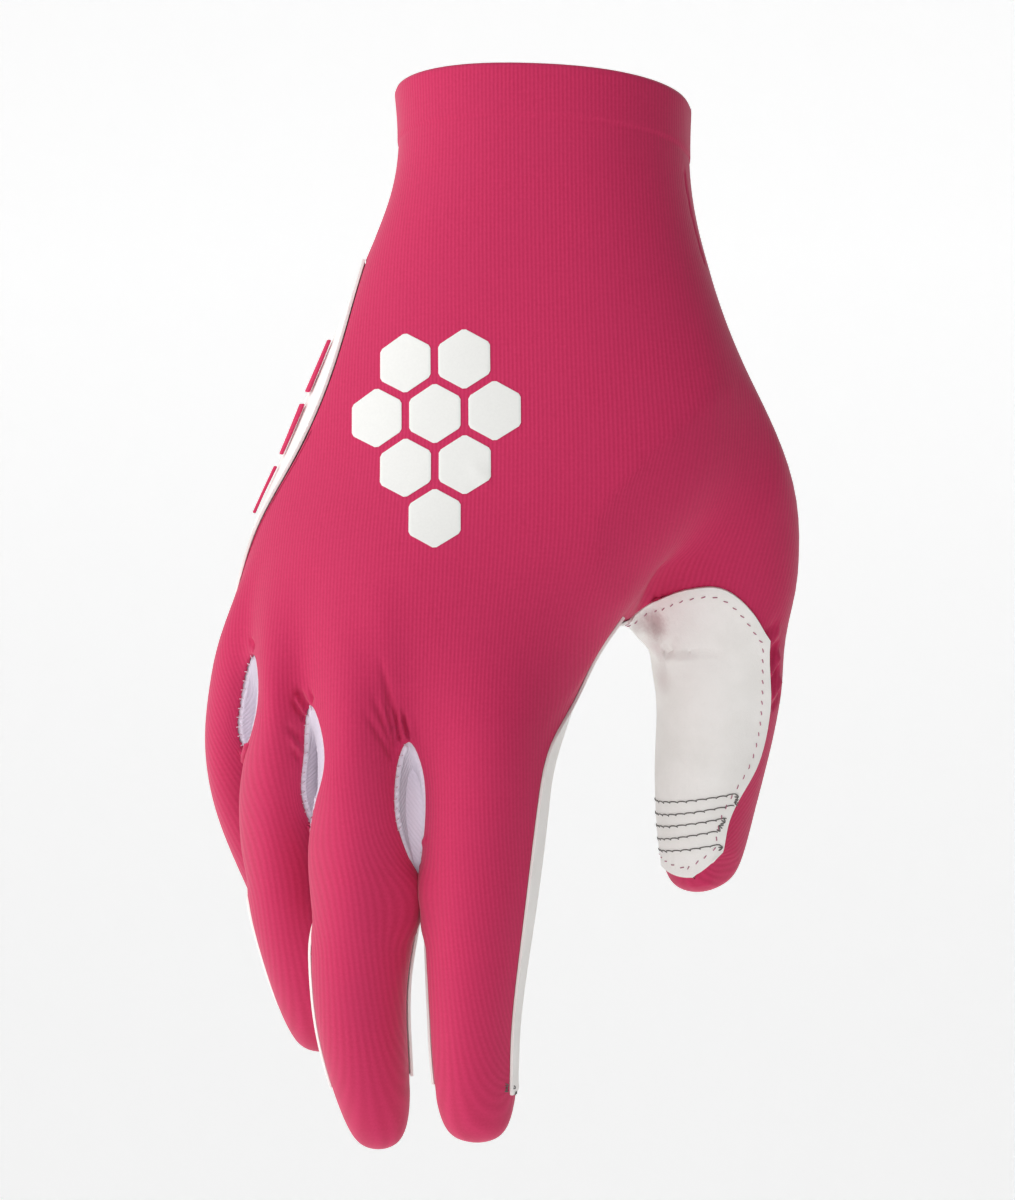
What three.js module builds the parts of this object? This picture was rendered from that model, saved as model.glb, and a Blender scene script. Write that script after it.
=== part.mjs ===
// A thin motocross glove for the right hand, held open as on a hand, in millimetres.
// The frame: +Z runs up the forearm, the fingers hang to -Z, the back of the hand faces -Y and the thumb
// lies to +X. The origin is the middle of the cuff's mouth, where the wrist goes in.
// One cage of quads gives the glove's outer surface. It is smoothed once, cut along its seams into the sewn
// panels, and each panel is given its thickness.
import * as THREE from "three";

// Cloth, and the raised rubber pads on the little finger's edge of the palm
const KNIT_THICKNESS = 1.0;
const SUEDE_THICKNESS = 1.3;
const SUEDE_PROUD = 0.3;
const SEAM_GAP = 0.3;
const MOST_MITRE = 2.5;
const PAD_THICKNESS = 0.6;
const PAD_GAP = 0.3;
const PAD_INSET = 1.2;

// A table with a row for each section and its columns named.
function table(columns, rows) {
  return rows.map((row) => Object.fromEntries(columns.map((name, i) => [name, row[i]])));
}

// The hand from cuff to knuckles, a row for each ring of the cage.
// ulnarX and radialX are the outline seen from the back, ulnarZ and radialZ the heights of the ring's two
// sides. back and palm are how far the ring reaches to -Y and +Y, arch how far its little finger side sinks
// to the palm. ulnarSeam is how far round to the back the seam on the little finger side lies. thumb and
// thenar are how far the thumb's root reaches round the ring to the back and to the palm. lift is the height
// of the ring's back above its sides. Angles are in degrees.
const HAND_ROWS = table(
  ["ulnarX", "radialX", "ulnarZ", "radialZ", "back", "palm", "arch", "ulnarSeam", "thumb", "thenar", "lift"],
  [
    [-29.7, 29.7, 0.4, -3.0, 22.0, 22.0,  0,  0, 13, 13, 3.0],
    [-28.7, 29.2,  -9,  -14, 21.5, 21.5,  0,  0, 13, 13, 2.0],
    [-30.0, 30.4, -20,  -25, 20.8, 21.0,  0,  4, 14, 14, 1.0],
    [-36.4, 34.3, -33,  -39, 19.8, 21.0,  1, 14, 16, 20,   0],
    [-42.9, 41.2, -48,  -56, 18.6, 22.5,  3, 26, 24, 38,   0],
    [-49.6, 46.0, -60,  -72, 17.6, 24.0,  5, 32, 34, 54,   0],
    [-54.7, 45.2, -72,  -88, 16.6, 23.5,  7, 27, 32, 63,   0],
    [-60.0, 16.4, -83, -104, 15.6, 21.0,  9, 20, 10, 40,   0],
    [-63.2,  7.6, -94, -117, 14.2, 19.0, 11, 12,  8, 16,   0],
  ],
);
const HAND_FULLNESS = 2.25;
const ARCH_CENTRE = 0.22;

// The crotches between neighbouring fingers: back, bottom and palm point of each.
const WEBS = table(
  ["backX", "backY", "backZ", "midX", "midY", "midZ", "palmX", "palmY", "palmZ"],
  [
    [-58.6,  5.5, -108.5, -56.2, 14.0, -116.0, -53.4, 22.0, -123.0],
    [-46.2, -2.5, -121.0, -45.4,  7.5, -127.5, -43.8, 19.5, -131.5],
    [-26.4, -5.0, -128.5, -26.3,  6.0, -136.0, -26.2, 17.0, -142.5],
  ],
);

// The fingers from knuckle to tip, a row for each ring. x, y, z is the ring's middle, wide and deep its half
// sizes, ulnar and radial how far round from its two sides the back panel ends, lean how far the ring tips
// to the palm. tip is how far the closed end reaches past the last ring.
const FINGER_COLUMNS = ["x", "y", "z", "wide", "deep", "ulnar", "radial", "lean"];
const FINGERS = {
  little: {
    roll: -30,
    tip: 3.0,
    rings: table(FINGER_COLUMNS, [
      [-59.8, 18.0,   -110, 7.8, 10.4, 34, 36, 0.5],
      [-62.2, 22.8, -117.5, 7.8,  9.6, 34, 58, 0.5],
      [-64.6, 29.4,   -126, 7.9,  9.2, 34, 30, 0.2],
      [-64.4, 36.2, -134.5, 7.9,  9.0, 36,  8,   0],
      [-62.3, 43.0, -142.5, 7.7,  8.6, 36, 26,   0],
      [-60.2, 49.0, -149.5, 7.3,  8.0, 36, 36,   0],
      [-58.5, 54.8,   -156, 6.7,  7.3, 36, 36,   0],
      [-57.0, 59.2, -161.2, 5.2,  5.4, 36, 36,   0],
    ]),
  },
  ring: {
    roll: -9,
    tip: 3.5,
    rings: table(FINGER_COLUMNS, [
      [-52.4,  8.0,   -120, 8.8, 11.6, 60, 44, 0.5],
      [-53.4, 12.6,   -128, 9.0, 10.6, 68, 40, 0.5],
      [-54.8, 18.6, -138.5, 9.2, 10.2, 14, 24, 0.2],
      [-54.9, 24.6,   -149, 9.4,  9.8,  8,  8,   0],
      [-53.9, 31.2, -159.5, 9.4,  9.6, 26, 26,   0],
      [-52.4, 37.6,   -169, 9.1,  9.2, 36, 36,   0],
      [-51.0, 44.4,   -178, 8.2,  8.4, 36, 36,   0],
      [-50.0, 49.6, -184.6, 6.2,  6.3, 36, 36,   0],
    ]),
  },
  middle: {
    roll: -4,
    tip: 4.0,
    rings: table(FINGER_COLUMNS, [
      [-36.4,  3.2, -129.5, 10.8, 13.2, 48, 36,  0.5],
      [-36.6,  6.3, -138.5, 11.1, 12.4, 56, 42, 0.55],
      [-36.8, 10.6, -149.5, 11.9, 11.9, 16, 44, 0.25],
      [-37.3, 15.4, -160.5, 11.5, 11.5,  8, 10, 0.05],
      [-39.2, 21.5,   -172, 10.1, 10.7, 26, 26,    0],
      [-39.8, 28.5,   -183,  9.8,  9.9, 36, 36,    0],
      [-38.6, 37.0,   -195,  8.6,  8.7, 36, 36,    0],
      [-37.6, 43.5, -204.8,  6.2,  6.4, 36, 36,    0],
    ]),
  },
  index: {
    roll: 2,
    tip: 3.5,
    rings: table(FINGER_COLUMNS, [
      [-11.5,  4.2, -131.5, 13.0, 13.8, 24, 12, 0.5],
      [-12.2,  6.2,   -140, 12.8, 13.0, 18, 20, 0.5],
      [-13.3,  9.2, -150.5, 12.5, 12.2, 14, 24, 0.2],
      [-14.2, 12.8, -161.5, 11.5, 11.6,  8, 24,   0],
      [-15.4, 17.8, -173.5, 10.2, 10.7, 26, 24,   0],
      [-16.5, 23.5,   -185,  9.2,  9.8, 36, 24,   0],
      [-16.8, 29.3,   -196,  8.9,  8.6, 36, 24,   0],
      [-17.0, 33.7, -204.3,  7.1,  6.3, 36, 30,   0],
    ]),
  },
};
const PALM_CORNER = 36;
const GUSSET_RINGS = 3;

// The thumb from its root to its tip. turn is the angle of the ring's plane, 0 where it stands upright and
// faces outwards, 90 where it lies flat and faces down. seam is how far round from its outer side the back
// panel ends. The rises lift the ring's three near points, from the crotch outwards, and arch the top edge
// of the thumb's patch.
const THUMB_RINGS = table(
  ["x", "y", "z", "wide", "deep", "turn", "lean", "seam", "riseInner", "riseMiddle", "riseOuter"],
  [
    [34.5, 17.5,  -92.5, 24.0, 15.0, 52, 10, 30,  9,   10,    5],
    [32.6, 27.0,   -110, 15.0, 14.6, 88, 18, 38, 18, 20.5, 19.5],
    [31.6, 36.3, -121.5, 13.4, 13.2, 87, 17, 30,  1,    3,    3],
    [30.3, 40.3, -131.5, 12.0, 12.0, 88, 17, 38,  0,    0,    0],
    [28.9, 43.8, -141.5, 10.6, 10.5, 88, 17, 60,  0,    0,    0],
    [28.2, 46.2, -149.2,  9.0,  8.9, 88, 17, 64, -1, -2.5,   -2],
    [27.9, 47.5, -153.8,  6.6,  6.3, 88, 17, 50,  0,    0,    0],
  ],
);
const PATCH_RING = 2;
const THUMB_TIP = 2.2;
const THUMB_TOP_ROW = 4;
const THUMB_WEB_ROW = 7;

// Columns of the hand's rings, counted from the back of the little finger's side over the back to the thumb
// side, and home again over the palm.
const COLUMNS = 28;
const FINGER_SPAN = 3;
const RADIAL_BACK = 12;
const RADIAL_SIDE = 13;
const RADIAL_PALM = 14;
const ULNAR_PALM = 26;
const ULNAR_SIDE = 27;
const LEAST_STEP = 4.5;
const PAD_ROWS = [4, 5, 6];

const RAD = Math.PI / 180;
const mix = (a, b, t) => a + (b - a) * t;
const smooth = (t) => t * t * (3 - 2 * t);
const vec = (x, y, z) => new THREE.Vector3(x, y, z);

// The cage: points, and quads that carry the name of the panel they belong to and of a pad lying on them.
const points = [];
const quads = [];
const addPoint = (p) => points.push(p) - 1;
const addQuad = (panel, ...corners) => quads.push({ panel, corners, pad: null });

// A point of a flattened oval at an angle from its ulnar end, going over the back of the hand.
function ovalPoint(row, angle) {
  const c = Math.cos(angle * RAD);
  const s = Math.sin(angle * RAD);
  const power = 2 / HAND_FULLNESS;
  const across = Math.sign(c) * Math.abs(c) ** power;
  const over = Math.sign(s) * Math.abs(s) ** power;
  const half = (row.radialX - row.ulnarX) / 2;
  const x = row.ulnarX + half - half * across;
  const depth = over > 0 ? row.back : row.palm;
  const off = across + ARCH_CENTRE;
  const z = mix(row.radialZ, row.ulnarZ, (across + 1) / 2) + row.lift * over;
  return vec(x, row.arch * off * off - depth * over, z);
}

// The angle round the last hand ring at which a crotch lies, from its place across the hand.
function webAngle(x) {
  const row = HAND_ROWS[HAND_ROWS.length - 1];
  const half = (row.radialX - row.ulnarX) / 2;
  return Math.acos((row.ulnarX + half - x) / half) / RAD;
}

// The angle of each column. Even steps at the cuff turn into steps that follow the fingers at the knuckles.
function columnAngles(row, towardsFingers) {
  const angles = [];
  const spread = (start, end, webX, put) => {
    const [first, ...others] = WEBS.map((web) => webAngle(web[webX]));
    const marks = [start + LEAST_STEP, Math.max(first, start + 4 * LEAST_STEP), ...others, end];
    for (let j = 0; j <= RADIAL_BACK; j += 1) {
      const even = mix(start, end, (j + 1) / (RADIAL_BACK + 1));
      const finger = Math.min(Math.floor(j / FINGER_SPAN), WEBS.length);
      const byFinger = mix(marks[finger], marks[finger + 1], (j - finger * FINGER_SPAN) / FINGER_SPAN);
      put(j, mix(even, byFinger, towardsFingers));
    }
  };
  spread(row.ulnarSeam, 180 - row.thumb, "backX", (j, angle) => {
    angles[j] = angle;
  });
  spread(-0.6 * row.ulnarSeam, 180 - row.thenar, "palmX", (j, angle) => {
    angles[ULNAR_PALM - j] = 360 - angle;
  });
  angles[RADIAL_SIDE] = 180;
  angles[ULNAR_SIDE] = row.ulnarSeam;
  return angles;
}

// Rings of the fingers have ten points, from the ulnar end of the back panel over the back and home over the
// palm. The middles of the two sides lie at 180 and 0 degrees.
function ringAngles(ulnar, radial) {
  const [from, to] = [180 - ulnar, radial];
  const [low, high] = [-Math.min(radial, PALM_CORNER), Math.min(ulnar, PALM_CORNER) - 180];
  const third = (a, b, n) => mix(a, b, n / 3);
  const back = [from, third(from, to, 1), third(from, to, 2), to];
  const palm = [low, third(low, high, 1), third(low, high, 2), high];
  return [...back, 0, ...palm, 180];
}

function fingerRing(finger, k) {
  const ring = finger.rings[k];
  const before = finger.rings[Math.max(k - 1, 0)];
  const after = finger.rings[Math.min(k + 1, finger.rings.length - 1)];
  const along = vec(after.x - before.x, after.y - before.y, after.z - before.z).normalize();
  const back = vec(0, -1, 0).applyAxisAngle(vec(0, 0, 1), finger.roll * RAD);
  back.addScaledVector(along, -back.dot(along)).normalize();
  const across = vec().crossVectors(along, back).normalize();
  back.addScaledVector(along, -ring.lean).multiplyScalar(ring.deep);
  return ringAngles(ring.ulnar, ring.radial).map((angle) =>
    vec(ring.x, ring.y, ring.z)
      .addScaledVector(across, -ring.wide * Math.cos(angle * RAD))
      .addScaledVector(back, Math.sin(angle * RAD)),
  );
}

// Joins one closed ring of point numbers to the next with quads, each in the panel that panelAt gives.
function bridge(ringA, ringB, panelAt) {
  ringA.forEach((a, j) => {
    const next = (j + 1) % ringA.length;
    addQuad(panelAt(j), a, ringB[j], ringB[next], ringA[next]);
  });
}

// Closes a ring of ten with six quads round two inner points.
function capRing(ring, inner, panelAt) {
  const [q1, q2] = inner;
  addQuad(panelAt(0), ring[0], ring[9], q1, ring[1]);
  addQuad(panelAt(1), ring[1], q1, q2, ring[2]);
  addQuad(panelAt(2), ring[2], q2, ring[4], ring[3]);
  addQuad(panelAt(5), ring[5], ring[4], q2, ring[6]);
  addQuad(panelAt(6), ring[6], q2, q1, ring[7]);
  addQuad(panelAt(7), ring[7], q1, ring[9], ring[8]);
}

function tipPoints(ring, along, reach) {
  return [[1, 7], [2, 6]].map(([a, b]) => {
    const p = vec().addVectors(points[ring[a]], points[ring[b]]).multiplyScalar(0.5);
    return addPoint(p.addScaledVector(along, reach));
  });
}

// The hand's rings of point numbers.
const lastRow = HAND_ROWS.length;
const handRings = HAND_ROWS.map((row, k) => {
  const angles = columnAngles(row, smooth(Math.min(k / (lastRow - 0.5), 1)));
  return angles.map((angle, j) => {
    const inThumb = j === RADIAL_SIDE && k > THUMB_TOP_ROW && k < THUMB_WEB_ROW;
    return inThumb ? -1 : addPoint(ovalPoint(row, angle));
  });
});

// The last ring, at the knuckles and crotches, is made of the fingers' first rings.
const names = Object.keys(FINGERS);
const webIds = WEBS.map((web) => ({
  back: addPoint(vec(web.backX, web.backY, web.backZ)),
  mid: addPoint(vec(web.midX, web.midY, web.midZ)),
  palm: addPoint(vec(web.palmX, web.palmY, web.palmZ)),
}));
const knuckles = new Array(COLUMNS).fill(-1);
const firstRings = names.map((name, f) => {
  const finger = FINGERS[name];
  const spots = fingerRing(finger, 0);
  const left = webIds[f - 1];
  const right = webIds[f];
  const own = (j) => addPoint(spots[j]);
  const ids = [
    left ? left.back : own(0),
    own(1),
    own(2),
    right ? right.back : own(3),
    right ? right.mid : own(4),
    right ? right.palm : own(5),
    own(6),
    own(7),
    left ? left.palm : own(8),
    left ? left.mid : own(9),
  ];
  for (let j = 0; j <= FINGER_SPAN; j += 1) {
    knuckles[f * FINGER_SPAN + j] = ids[j];
    knuckles[ULNAR_PALM - f * FINGER_SPAN - j] = ids[8 - j];
  }
  if (f === 0) knuckles[ULNAR_SIDE] = ids[9];
  if (f === names.length - 1) knuckles[RADIAL_SIDE] = ids[4];
  return ids;
});
handRings.push(knuckles);

// Panels of the hand: the back wraps the sides, the underside of the cuff is a piece of its own.
const CUFF_UNDERSIDE_ROWS = 3;
function handPanel(k, j) {
  const palmSide = j >= RADIAL_SIDE && j < ULNAR_SIDE;
  if (k < CUFF_UNDERSIDE_ROWS) return palmSide ? "cuff_underside" : "back_panel";
  if (palmSide) return k < THUMB_WEB_ROW && j === RADIAL_SIDE ? "back_panel" : "palm_panel";
  if (j === RADIAL_BACK && k >= THUMB_WEB_ROW) return "palm_panel";
  return "back_panel";
}
for (let k = 0; k < lastRow; k += 1) {
  for (let j = 0; j < COLUMNS; j += 1) {
    const next = (j + 1) % COLUMNS;
    const inThumb = k >= THUMB_TOP_ROW && k < THUMB_WEB_ROW && (j === RADIAL_BACK || j === RADIAL_SIDE);
    const [a, b] = [handRings[k], handRings[k + 1]];
    if (!inThumb) addQuad(handPanel(k, j), a[j], b[j], b[next], a[next]);
    if (j === ULNAR_PALM && PAD_ROWS.includes(k)) quads.at(-1).pad = "edge_pad_" + (PAD_ROWS.indexOf(k) + 1);
  }
}

// Fingers: back, palm and, between neighbours, a stretch gusset that ends part of the way down.
names.forEach((name, f) => {
  const finger = FINGERS[name];
  const leftGusset = f > 0 ? "gusset_" + names[f - 1] + "_" + name : null;
  const rightGusset = f < names.length - 1 ? "gusset_" + name + "_" + names[f + 1] : null;
  const panelAt = (k) => (j) => {
    const gussetHere = k < GUSSET_RINGS;
    if (j < 3) return "back_panel";
    if (j === 3) return rightGusset ? (gussetHere ? rightGusset : "back_panel") : "palm_panel";
    if (j === 4) return rightGusset && gussetHere ? rightGusset : "palm_panel";
    if (j === 8) return leftGusset && gussetHere ? leftGusset : "palm_panel";
    if (j === 9) return leftGusset && gussetHere ? leftGusset : "back_panel";
    return "palm_panel";
  };
  let ring = firstRings[f];
  const count = finger.rings.length;
  for (let k = 1; k < count; k += 1) {
    const next = fingerRing(finger, k).map(addPoint);
    bridge(ring, next, k === count - 1 ? () => "back_panel" : panelAt(k - 1));
    ring = next;
  }
  const [a, b] = [finger.rings[count - 2], finger.rings[count - 1]];
  const along = vec(b.x - a.x, b.y - a.y, b.z - a.z).normalize();
  capRing(ring, tipPoints(ring, along, finger.tip), () => "back_panel");
});

// The thumb grows from the gap left in the hand's thumb side. Its ring starts at the outer back corner.
const at = (k, j) => handRings[k][j];
const thumbRoot = [
  at(4, RADIAL_BACK), at(4, RADIAL_SIDE), at(4, RADIAL_PALM), at(5, RADIAL_PALM), at(6, RADIAL_PALM),
  at(7, RADIAL_PALM), at(7, RADIAL_SIDE), at(7, RADIAL_BACK), at(6, RADIAL_BACK), at(5, RADIAL_BACK),
];
function thumbRing(ring) {
  const along = vec(Math.cos(ring.turn * RAD), 0, -Math.sin(ring.turn * RAD));
  along.applyAxisAngle(vec(1, 0, 0), ring.lean * RAD);
  const outer = vec(Math.sin(ring.turn * RAD), 0, Math.cos(ring.turn * RAD));
  const far = vec().crossVectors(outer, along).normalize();
  const near = (n) => mix(216, 360 - ring.seam, n / 3);
  const angles = [-ring.seam, 0, 36, 72, 108, 144, 180, near(0), near(1), near(2)];
  const rises = [0, 0, 0, 0, 0, 0, 0, ring.riseInner, ring.riseMiddle, ring.riseOuter];
  return angles.map((angle, j) => {
    const [c, s] = [Math.cos(angle * RAD), Math.sin(angle * RAD)];
    return vec(ring.x, ring.y, ring.z)
      .addScaledVector(outer, ring.wide * c)
      .addScaledVector(far, ring.deep * s)
      .addScaledVector(along, -rises[j]);
  });
}
function thumbPanel(k) {
  return (j) => {
    const [outer, near, tip] = [j < 3, j > 6, k === THUMB_RINGS.length - 1];
    return outer || tip || (near && k < PATCH_RING) ? "back_panel" : "thumb_panel";
  };
}
let thumb = thumbRoot;
THUMB_RINGS.forEach((ring, k) => {
  const next = thumbRing(ring).map(addPoint);
  bridge(thumb, next, thumbPanel(k));
  thumb = next;
});
{
  const [a, b] = THUMB_RINGS.slice(-2);
  const along = vec(b.x - a.x, b.y - a.y, b.z - a.z).normalize();
  const turned = [...thumb.slice(-1), ...thumb.slice(0, -1)];
  capRing(turned, tipPoints(turned, along, THUMB_TIP), () => "back_panel");
}

// One step of Catmull-Clark smoothing. The open edge of the cuff keeps to itself. A pad keeps to the half of
// its quad on the palm's side.
function smoothCage(cagePoints, cageQuads) {
  const out = cagePoints.map(() => null);
  const edges = new Map();
  const around = cagePoints.map(() => ({ faces: [], edges: [] }));
  const centres = cageQuads.map(({ corners }) => {
    const c = vec();
    corners.forEach((i) => c.addScaledVector(cagePoints[i], 0.25));
    return c;
  });
  cageQuads.forEach(({ corners }, q) => {
    corners.forEach((a, n) => {
      const b = corners[(n + 1) % 4];
      const key = Math.min(a, b) + "_" + Math.max(a, b);
      if (!edges.has(key)) {
        edges.set(key, { a, b, faces: [] });
        around[a].edges.push(key);
        around[b].edges.push(key);
      }
      edges.get(key).faces.push(q);
      around[a].faces.push(q);
    });
  });
  for (const edge of edges.values()) {
    edge.middle = vec().addVectors(cagePoints[edge.a], cagePoints[edge.b]).multiplyScalar(0.5);
    edge.open = edge.faces.length === 1;
    const p = edge.middle.clone();
    if (!edge.open) {
      const c = vec().addVectors(centres[edge.faces[0]], centres[edge.faces[1]]).multiplyScalar(0.5);
      p.add(c).multiplyScalar(0.5);
    }
    edge.id = out.push(p) - 1;
  }
  const centreIds = centres.map((c) => out.push(c) - 1);
  cagePoints.forEach((p, i) => {
    const ring = around[i].edges.map((key) => edges.get(key));
    if (!ring.length) return;
    const open = ring.filter((edge) => edge.open);
    const n = ring.length;
    const result = vec();
    if (open.length) {
      open.forEach((edge) => result.addScaledVector(edge.middle, 0.25));
      out[i] = result.addScaledVector(p, 0.5);
      return;
    }
    around[i].faces.forEach((q) => result.addScaledVector(centres[q], 1 / (n * n)));
    ring.forEach((edge) => result.addScaledVector(edge.middle, 2 / (n * n)));
    out[i] = result.addScaledVector(p, (n - 3) / n);
  });
  const fine = [];
  cageQuads.forEach(({ panel, pad, corners }, q) => {
    const ids = corners.map((a, n) => {
      const b = corners[(n + 1) % 4];
      return edges.get(Math.min(a, b) + "_" + Math.max(a, b)).id;
    });
    corners.forEach((a, n) => {
      const padHere = n < 2 ? pad : null;
      fine.push({ panel, pad: padHere, corners: [a, ids[n], centreIds[q], ids[(n + 3) % 4]] });
    });
  });
  return [out, fine];
}

const [skin, skinQuads] = smoothCage(points, quads);

// Outward normals of the whole skin. At the cuff's edge they are level, so that the edge is cut square.
const normals = skin.map(() => vec());
skinQuads.forEach(({ corners }) => {
  const [a, b, c, d] = corners.map((i) => skin[i]);
  const n = vec().crossVectors(vec().subVectors(c, a), vec().subVectors(d, b));
  corners.forEach((i) => normals[i].add(n));
});
const cuffEdge = new Set();
{
  const seen = new Map();
  skinQuads.forEach(({ corners }) => corners.forEach((a, n) => {
    const b = corners[(n + 1) % 4];
    const key = Math.min(a, b) + "_" + Math.max(a, b);
    seen.set(key, (seen.get(key) || 0) + 1);
  }));
  for (const [key, uses] of seen) {
    if (uses === 1) key.split("_").forEach((i) => cuffEdge.add(Number(i)));
  }
}
normals.forEach((n, i) => {
  if (cuffEdge.has(i)) n.z = 0;
  n.normalize();
});

// A closed solid on some of the skin's quads. Its outer face stands proud of the skin, its edges are drawn
// back by the inset, and it has the given thickness.
function layerGeometry(own, { proud, thickness, inset }) {
  const directed = new Set();
  own.forEach(({ corners }) => corners.forEach((a, n) => directed.add(a + "_" + corners[(n + 1) % 4])));
  const rim = [];
  own.forEach(({ corners }) => corners.forEach((a, n) => {
    const b = corners[(n + 1) % 4];
    if (!directed.has(b + "_" + a)) rim.push([a, b]);
  }));
  const draw = new Map();
  rim.forEach(([a, b]) => {
    const edge = vec().subVectors(skin[b], skin[a]).normalize();
    [a, b].forEach((i) => {
      const inward = vec().crossVectors(normals[i], edge).normalize();
      draw.set(i, (draw.get(i) || vec()).add(inward));
    });
  });
  const place = (i, height) => {
    const p = skin[i].clone().addScaledVector(normals[i], height);
    if (draw.has(i) && !cuffEdge.has(i)) {
      const inward = draw.get(i);
      const reach = Math.min(2 / inward.length(), MOST_MITRE) * inset;
      p.addScaledVector(inward.clone().normalize(), reach);
    }
    return p;
  };
  const ids = new Map();
  const position = [];
  const index = [];
  const idOf = (i, side) => {
    const key = i + side;
    if (!ids.has(key)) {
      const p = place(i, side === "out" ? proud : proud - thickness);
      ids.set(key, position.length / 3);
      position.push(p.x, p.y, p.z);
    }
    return ids.get(key);
  };
  const pushQuad = (a, b, c, d) => index.push(a, b, c, a, c, d);
  own.forEach(({ corners }) => {
    pushQuad(...corners.map((i) => idOf(i, "out")));
    pushQuad(...corners.map((i) => idOf(i, "in")).reverse());
  });
  rim.forEach(([a, b]) => pushQuad(idOf(b, "out"), idOf(a, "out"), idOf(a, "in"), idOf(b, "in")));
  const geometry = new THREE.BufferGeometry();
  geometry.setAttribute("position", new THREE.Float32BufferAttribute(position, 3));
  geometry.setIndex(index);
  return geometry;
}

const cloth = (color, roughness) => new THREE.MeshStandardMaterial({ color, roughness, metalness: 0 });
const MAGENTA = 0xc42c5c;
const KNIT = { proud: 0, thickness: KNIT_THICKNESS, inset: SEAM_GAP / 2 };
const SUEDE = { proud: SUEDE_PROUD, thickness: SUEDE_THICKNESS, inset: SEAM_GAP / 2 };
const PAD = { proud: SUEDE_PROUD + PAD_GAP + PAD_THICKNESS, thickness: PAD_THICKNESS, inset: PAD_INSET };
const LAYERS = {
  back_panel: { ...KNIT, material: cloth(MAGENTA, 0.8) },
  cuff_underside: { ...KNIT, material: cloth(MAGENTA, 0.8) },
  palm_panel: { ...SUEDE, material: cloth(0xe8e5e2, 0.95) },
  thumb_panel: { ...SUEDE, material: cloth(0xe8e5e2, 0.95) },
  gusset_little_ring: { ...KNIT, material: cloth(0xdcdae6, 0.85) },
  gusset_ring_middle: { ...KNIT, material: cloth(0xdcdae6, 0.85) },
  gusset_middle_index: { ...KNIT, material: cloth(0xdcdae6, 0.85) },
  edge_pad_1: { ...PAD, material: cloth(MAGENTA, 0.6) },
  edge_pad_2: { ...PAD, material: cloth(MAGENTA, 0.6) },
  edge_pad_3: { ...PAD, material: cloth(MAGENTA, 0.6) },
};

const glove = new THREE.Group();
for (const [name, layer] of Object.entries(LAYERS)) {
  const own = skinQuads.filter((quad) => quad.panel === name || quad.pad === name);
  const mesh = new THREE.Mesh(layerGeometry(own, layer), layer.material);
  mesh.name = name;
  glove.add(mesh);
}

export default glove;
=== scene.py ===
"""A motocross glove for the right hand, dressed on its frame: knit back, suede palm and thumb patch, stretch
gussets, rubber pads, print, seams and stitches. The frame is in metres, +Z up the forearm, -Y out of the back
of the hand, +X to the thumb's side."""

import bmesh
import bpy
import math
import numpy as np
from collections import namedtuple
from bpy.props import FloatProperty, FloatVectorProperty, IntProperty, PointerProperty
from mathutils import Matrix, Vector
from mathutils.bvhtree import BVHTree
from mathutils.geometry import intersect_point_line
from mathutils.kdtree import KDTree


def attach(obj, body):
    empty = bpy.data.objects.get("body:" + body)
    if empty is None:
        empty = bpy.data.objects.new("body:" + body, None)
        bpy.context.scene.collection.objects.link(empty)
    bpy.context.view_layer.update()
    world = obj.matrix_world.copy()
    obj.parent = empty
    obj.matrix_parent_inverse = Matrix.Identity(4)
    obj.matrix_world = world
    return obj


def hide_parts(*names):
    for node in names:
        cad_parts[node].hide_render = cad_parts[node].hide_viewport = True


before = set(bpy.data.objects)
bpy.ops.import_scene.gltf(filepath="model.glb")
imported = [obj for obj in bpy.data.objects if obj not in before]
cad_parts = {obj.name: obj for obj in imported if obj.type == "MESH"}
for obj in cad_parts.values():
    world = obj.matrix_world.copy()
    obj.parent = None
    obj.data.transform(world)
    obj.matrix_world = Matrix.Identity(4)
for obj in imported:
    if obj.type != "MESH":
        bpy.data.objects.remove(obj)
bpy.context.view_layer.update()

bl_info = {
    "name": "Motocross glove",
    "version": (1, 0, 0),
    "blender": (4, 5, 0),
    "location": "View3D > Sidebar > Glove",
    "description": "Builds the cloth, stitches, print and studio of a motocross glove round its frame",
    "category": "Object",
}

MM = 0.001

# The walls of the frame's solids, and how proud of the knit their suede lies
KNIT_WALL = 1.0 * MM
SUEDE_WALL = 1.3 * MM
SUEDE_PROUD = 0.3 * MM

# The walls that the dressed cloth gets, and how its cut edge and the pads' edges are rounded
KNIT_CLOTH = 0.7 * KNIT_WALL
SUEDE_CLOTH = 0.45 * SUEDE_WALL
SUEDE_EDGE = 0.1 * MM
PAD_ROUND = 0.22 * MM

# How near two lengths, two places, and a place and a plane count as the same
WALL_TOLERANCE = 5e-7
MERGE = 1e-6
ON_PLANE = 1e-7

# The way from the back of the hand to its palm
TO_PALM = Vector((0, 1, 0))

# Rounds of smoothing: of a gusset stretched between its seams, of the soft spots, and of the cloth beside a
# held edge
GUSSET_TENSION = 300
SPOT_ROUNDS = 120
EDGE_ROUNDS = 12

# Painted light: a glow in the gussets' own colour that brightens them where they lie in shade between the
# fingers
GUSSET_PAINTED_GLOW = 0.19


def linear(red, green, blue):
    """A colour as Blender's shaders take it, from its 0 to 255 values on a screen."""
    def one(value):
        share = value / 255
        return share / 12.92 if share <= 0.04045 else ((share + 0.055) / 1.055) ** 2.4
    return one(red), one(green), one(blue), 1.0


def colour(name, description, value):
    """A colour for the sidebar, from its 0 to 255 values on a screen."""
    return FloatVectorProperty(
        name=name, description=description, subtype="COLOR", size=4, min=0, max=1, default=linear(*value)
    )


def length(name, description, millimetres):
    """A length for the sidebar."""
    return FloatProperty(
        name=name, description=description, subtype="DISTANCE", unit="LENGTH", precision=5,
        default=millimetres * MM,
    )


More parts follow.
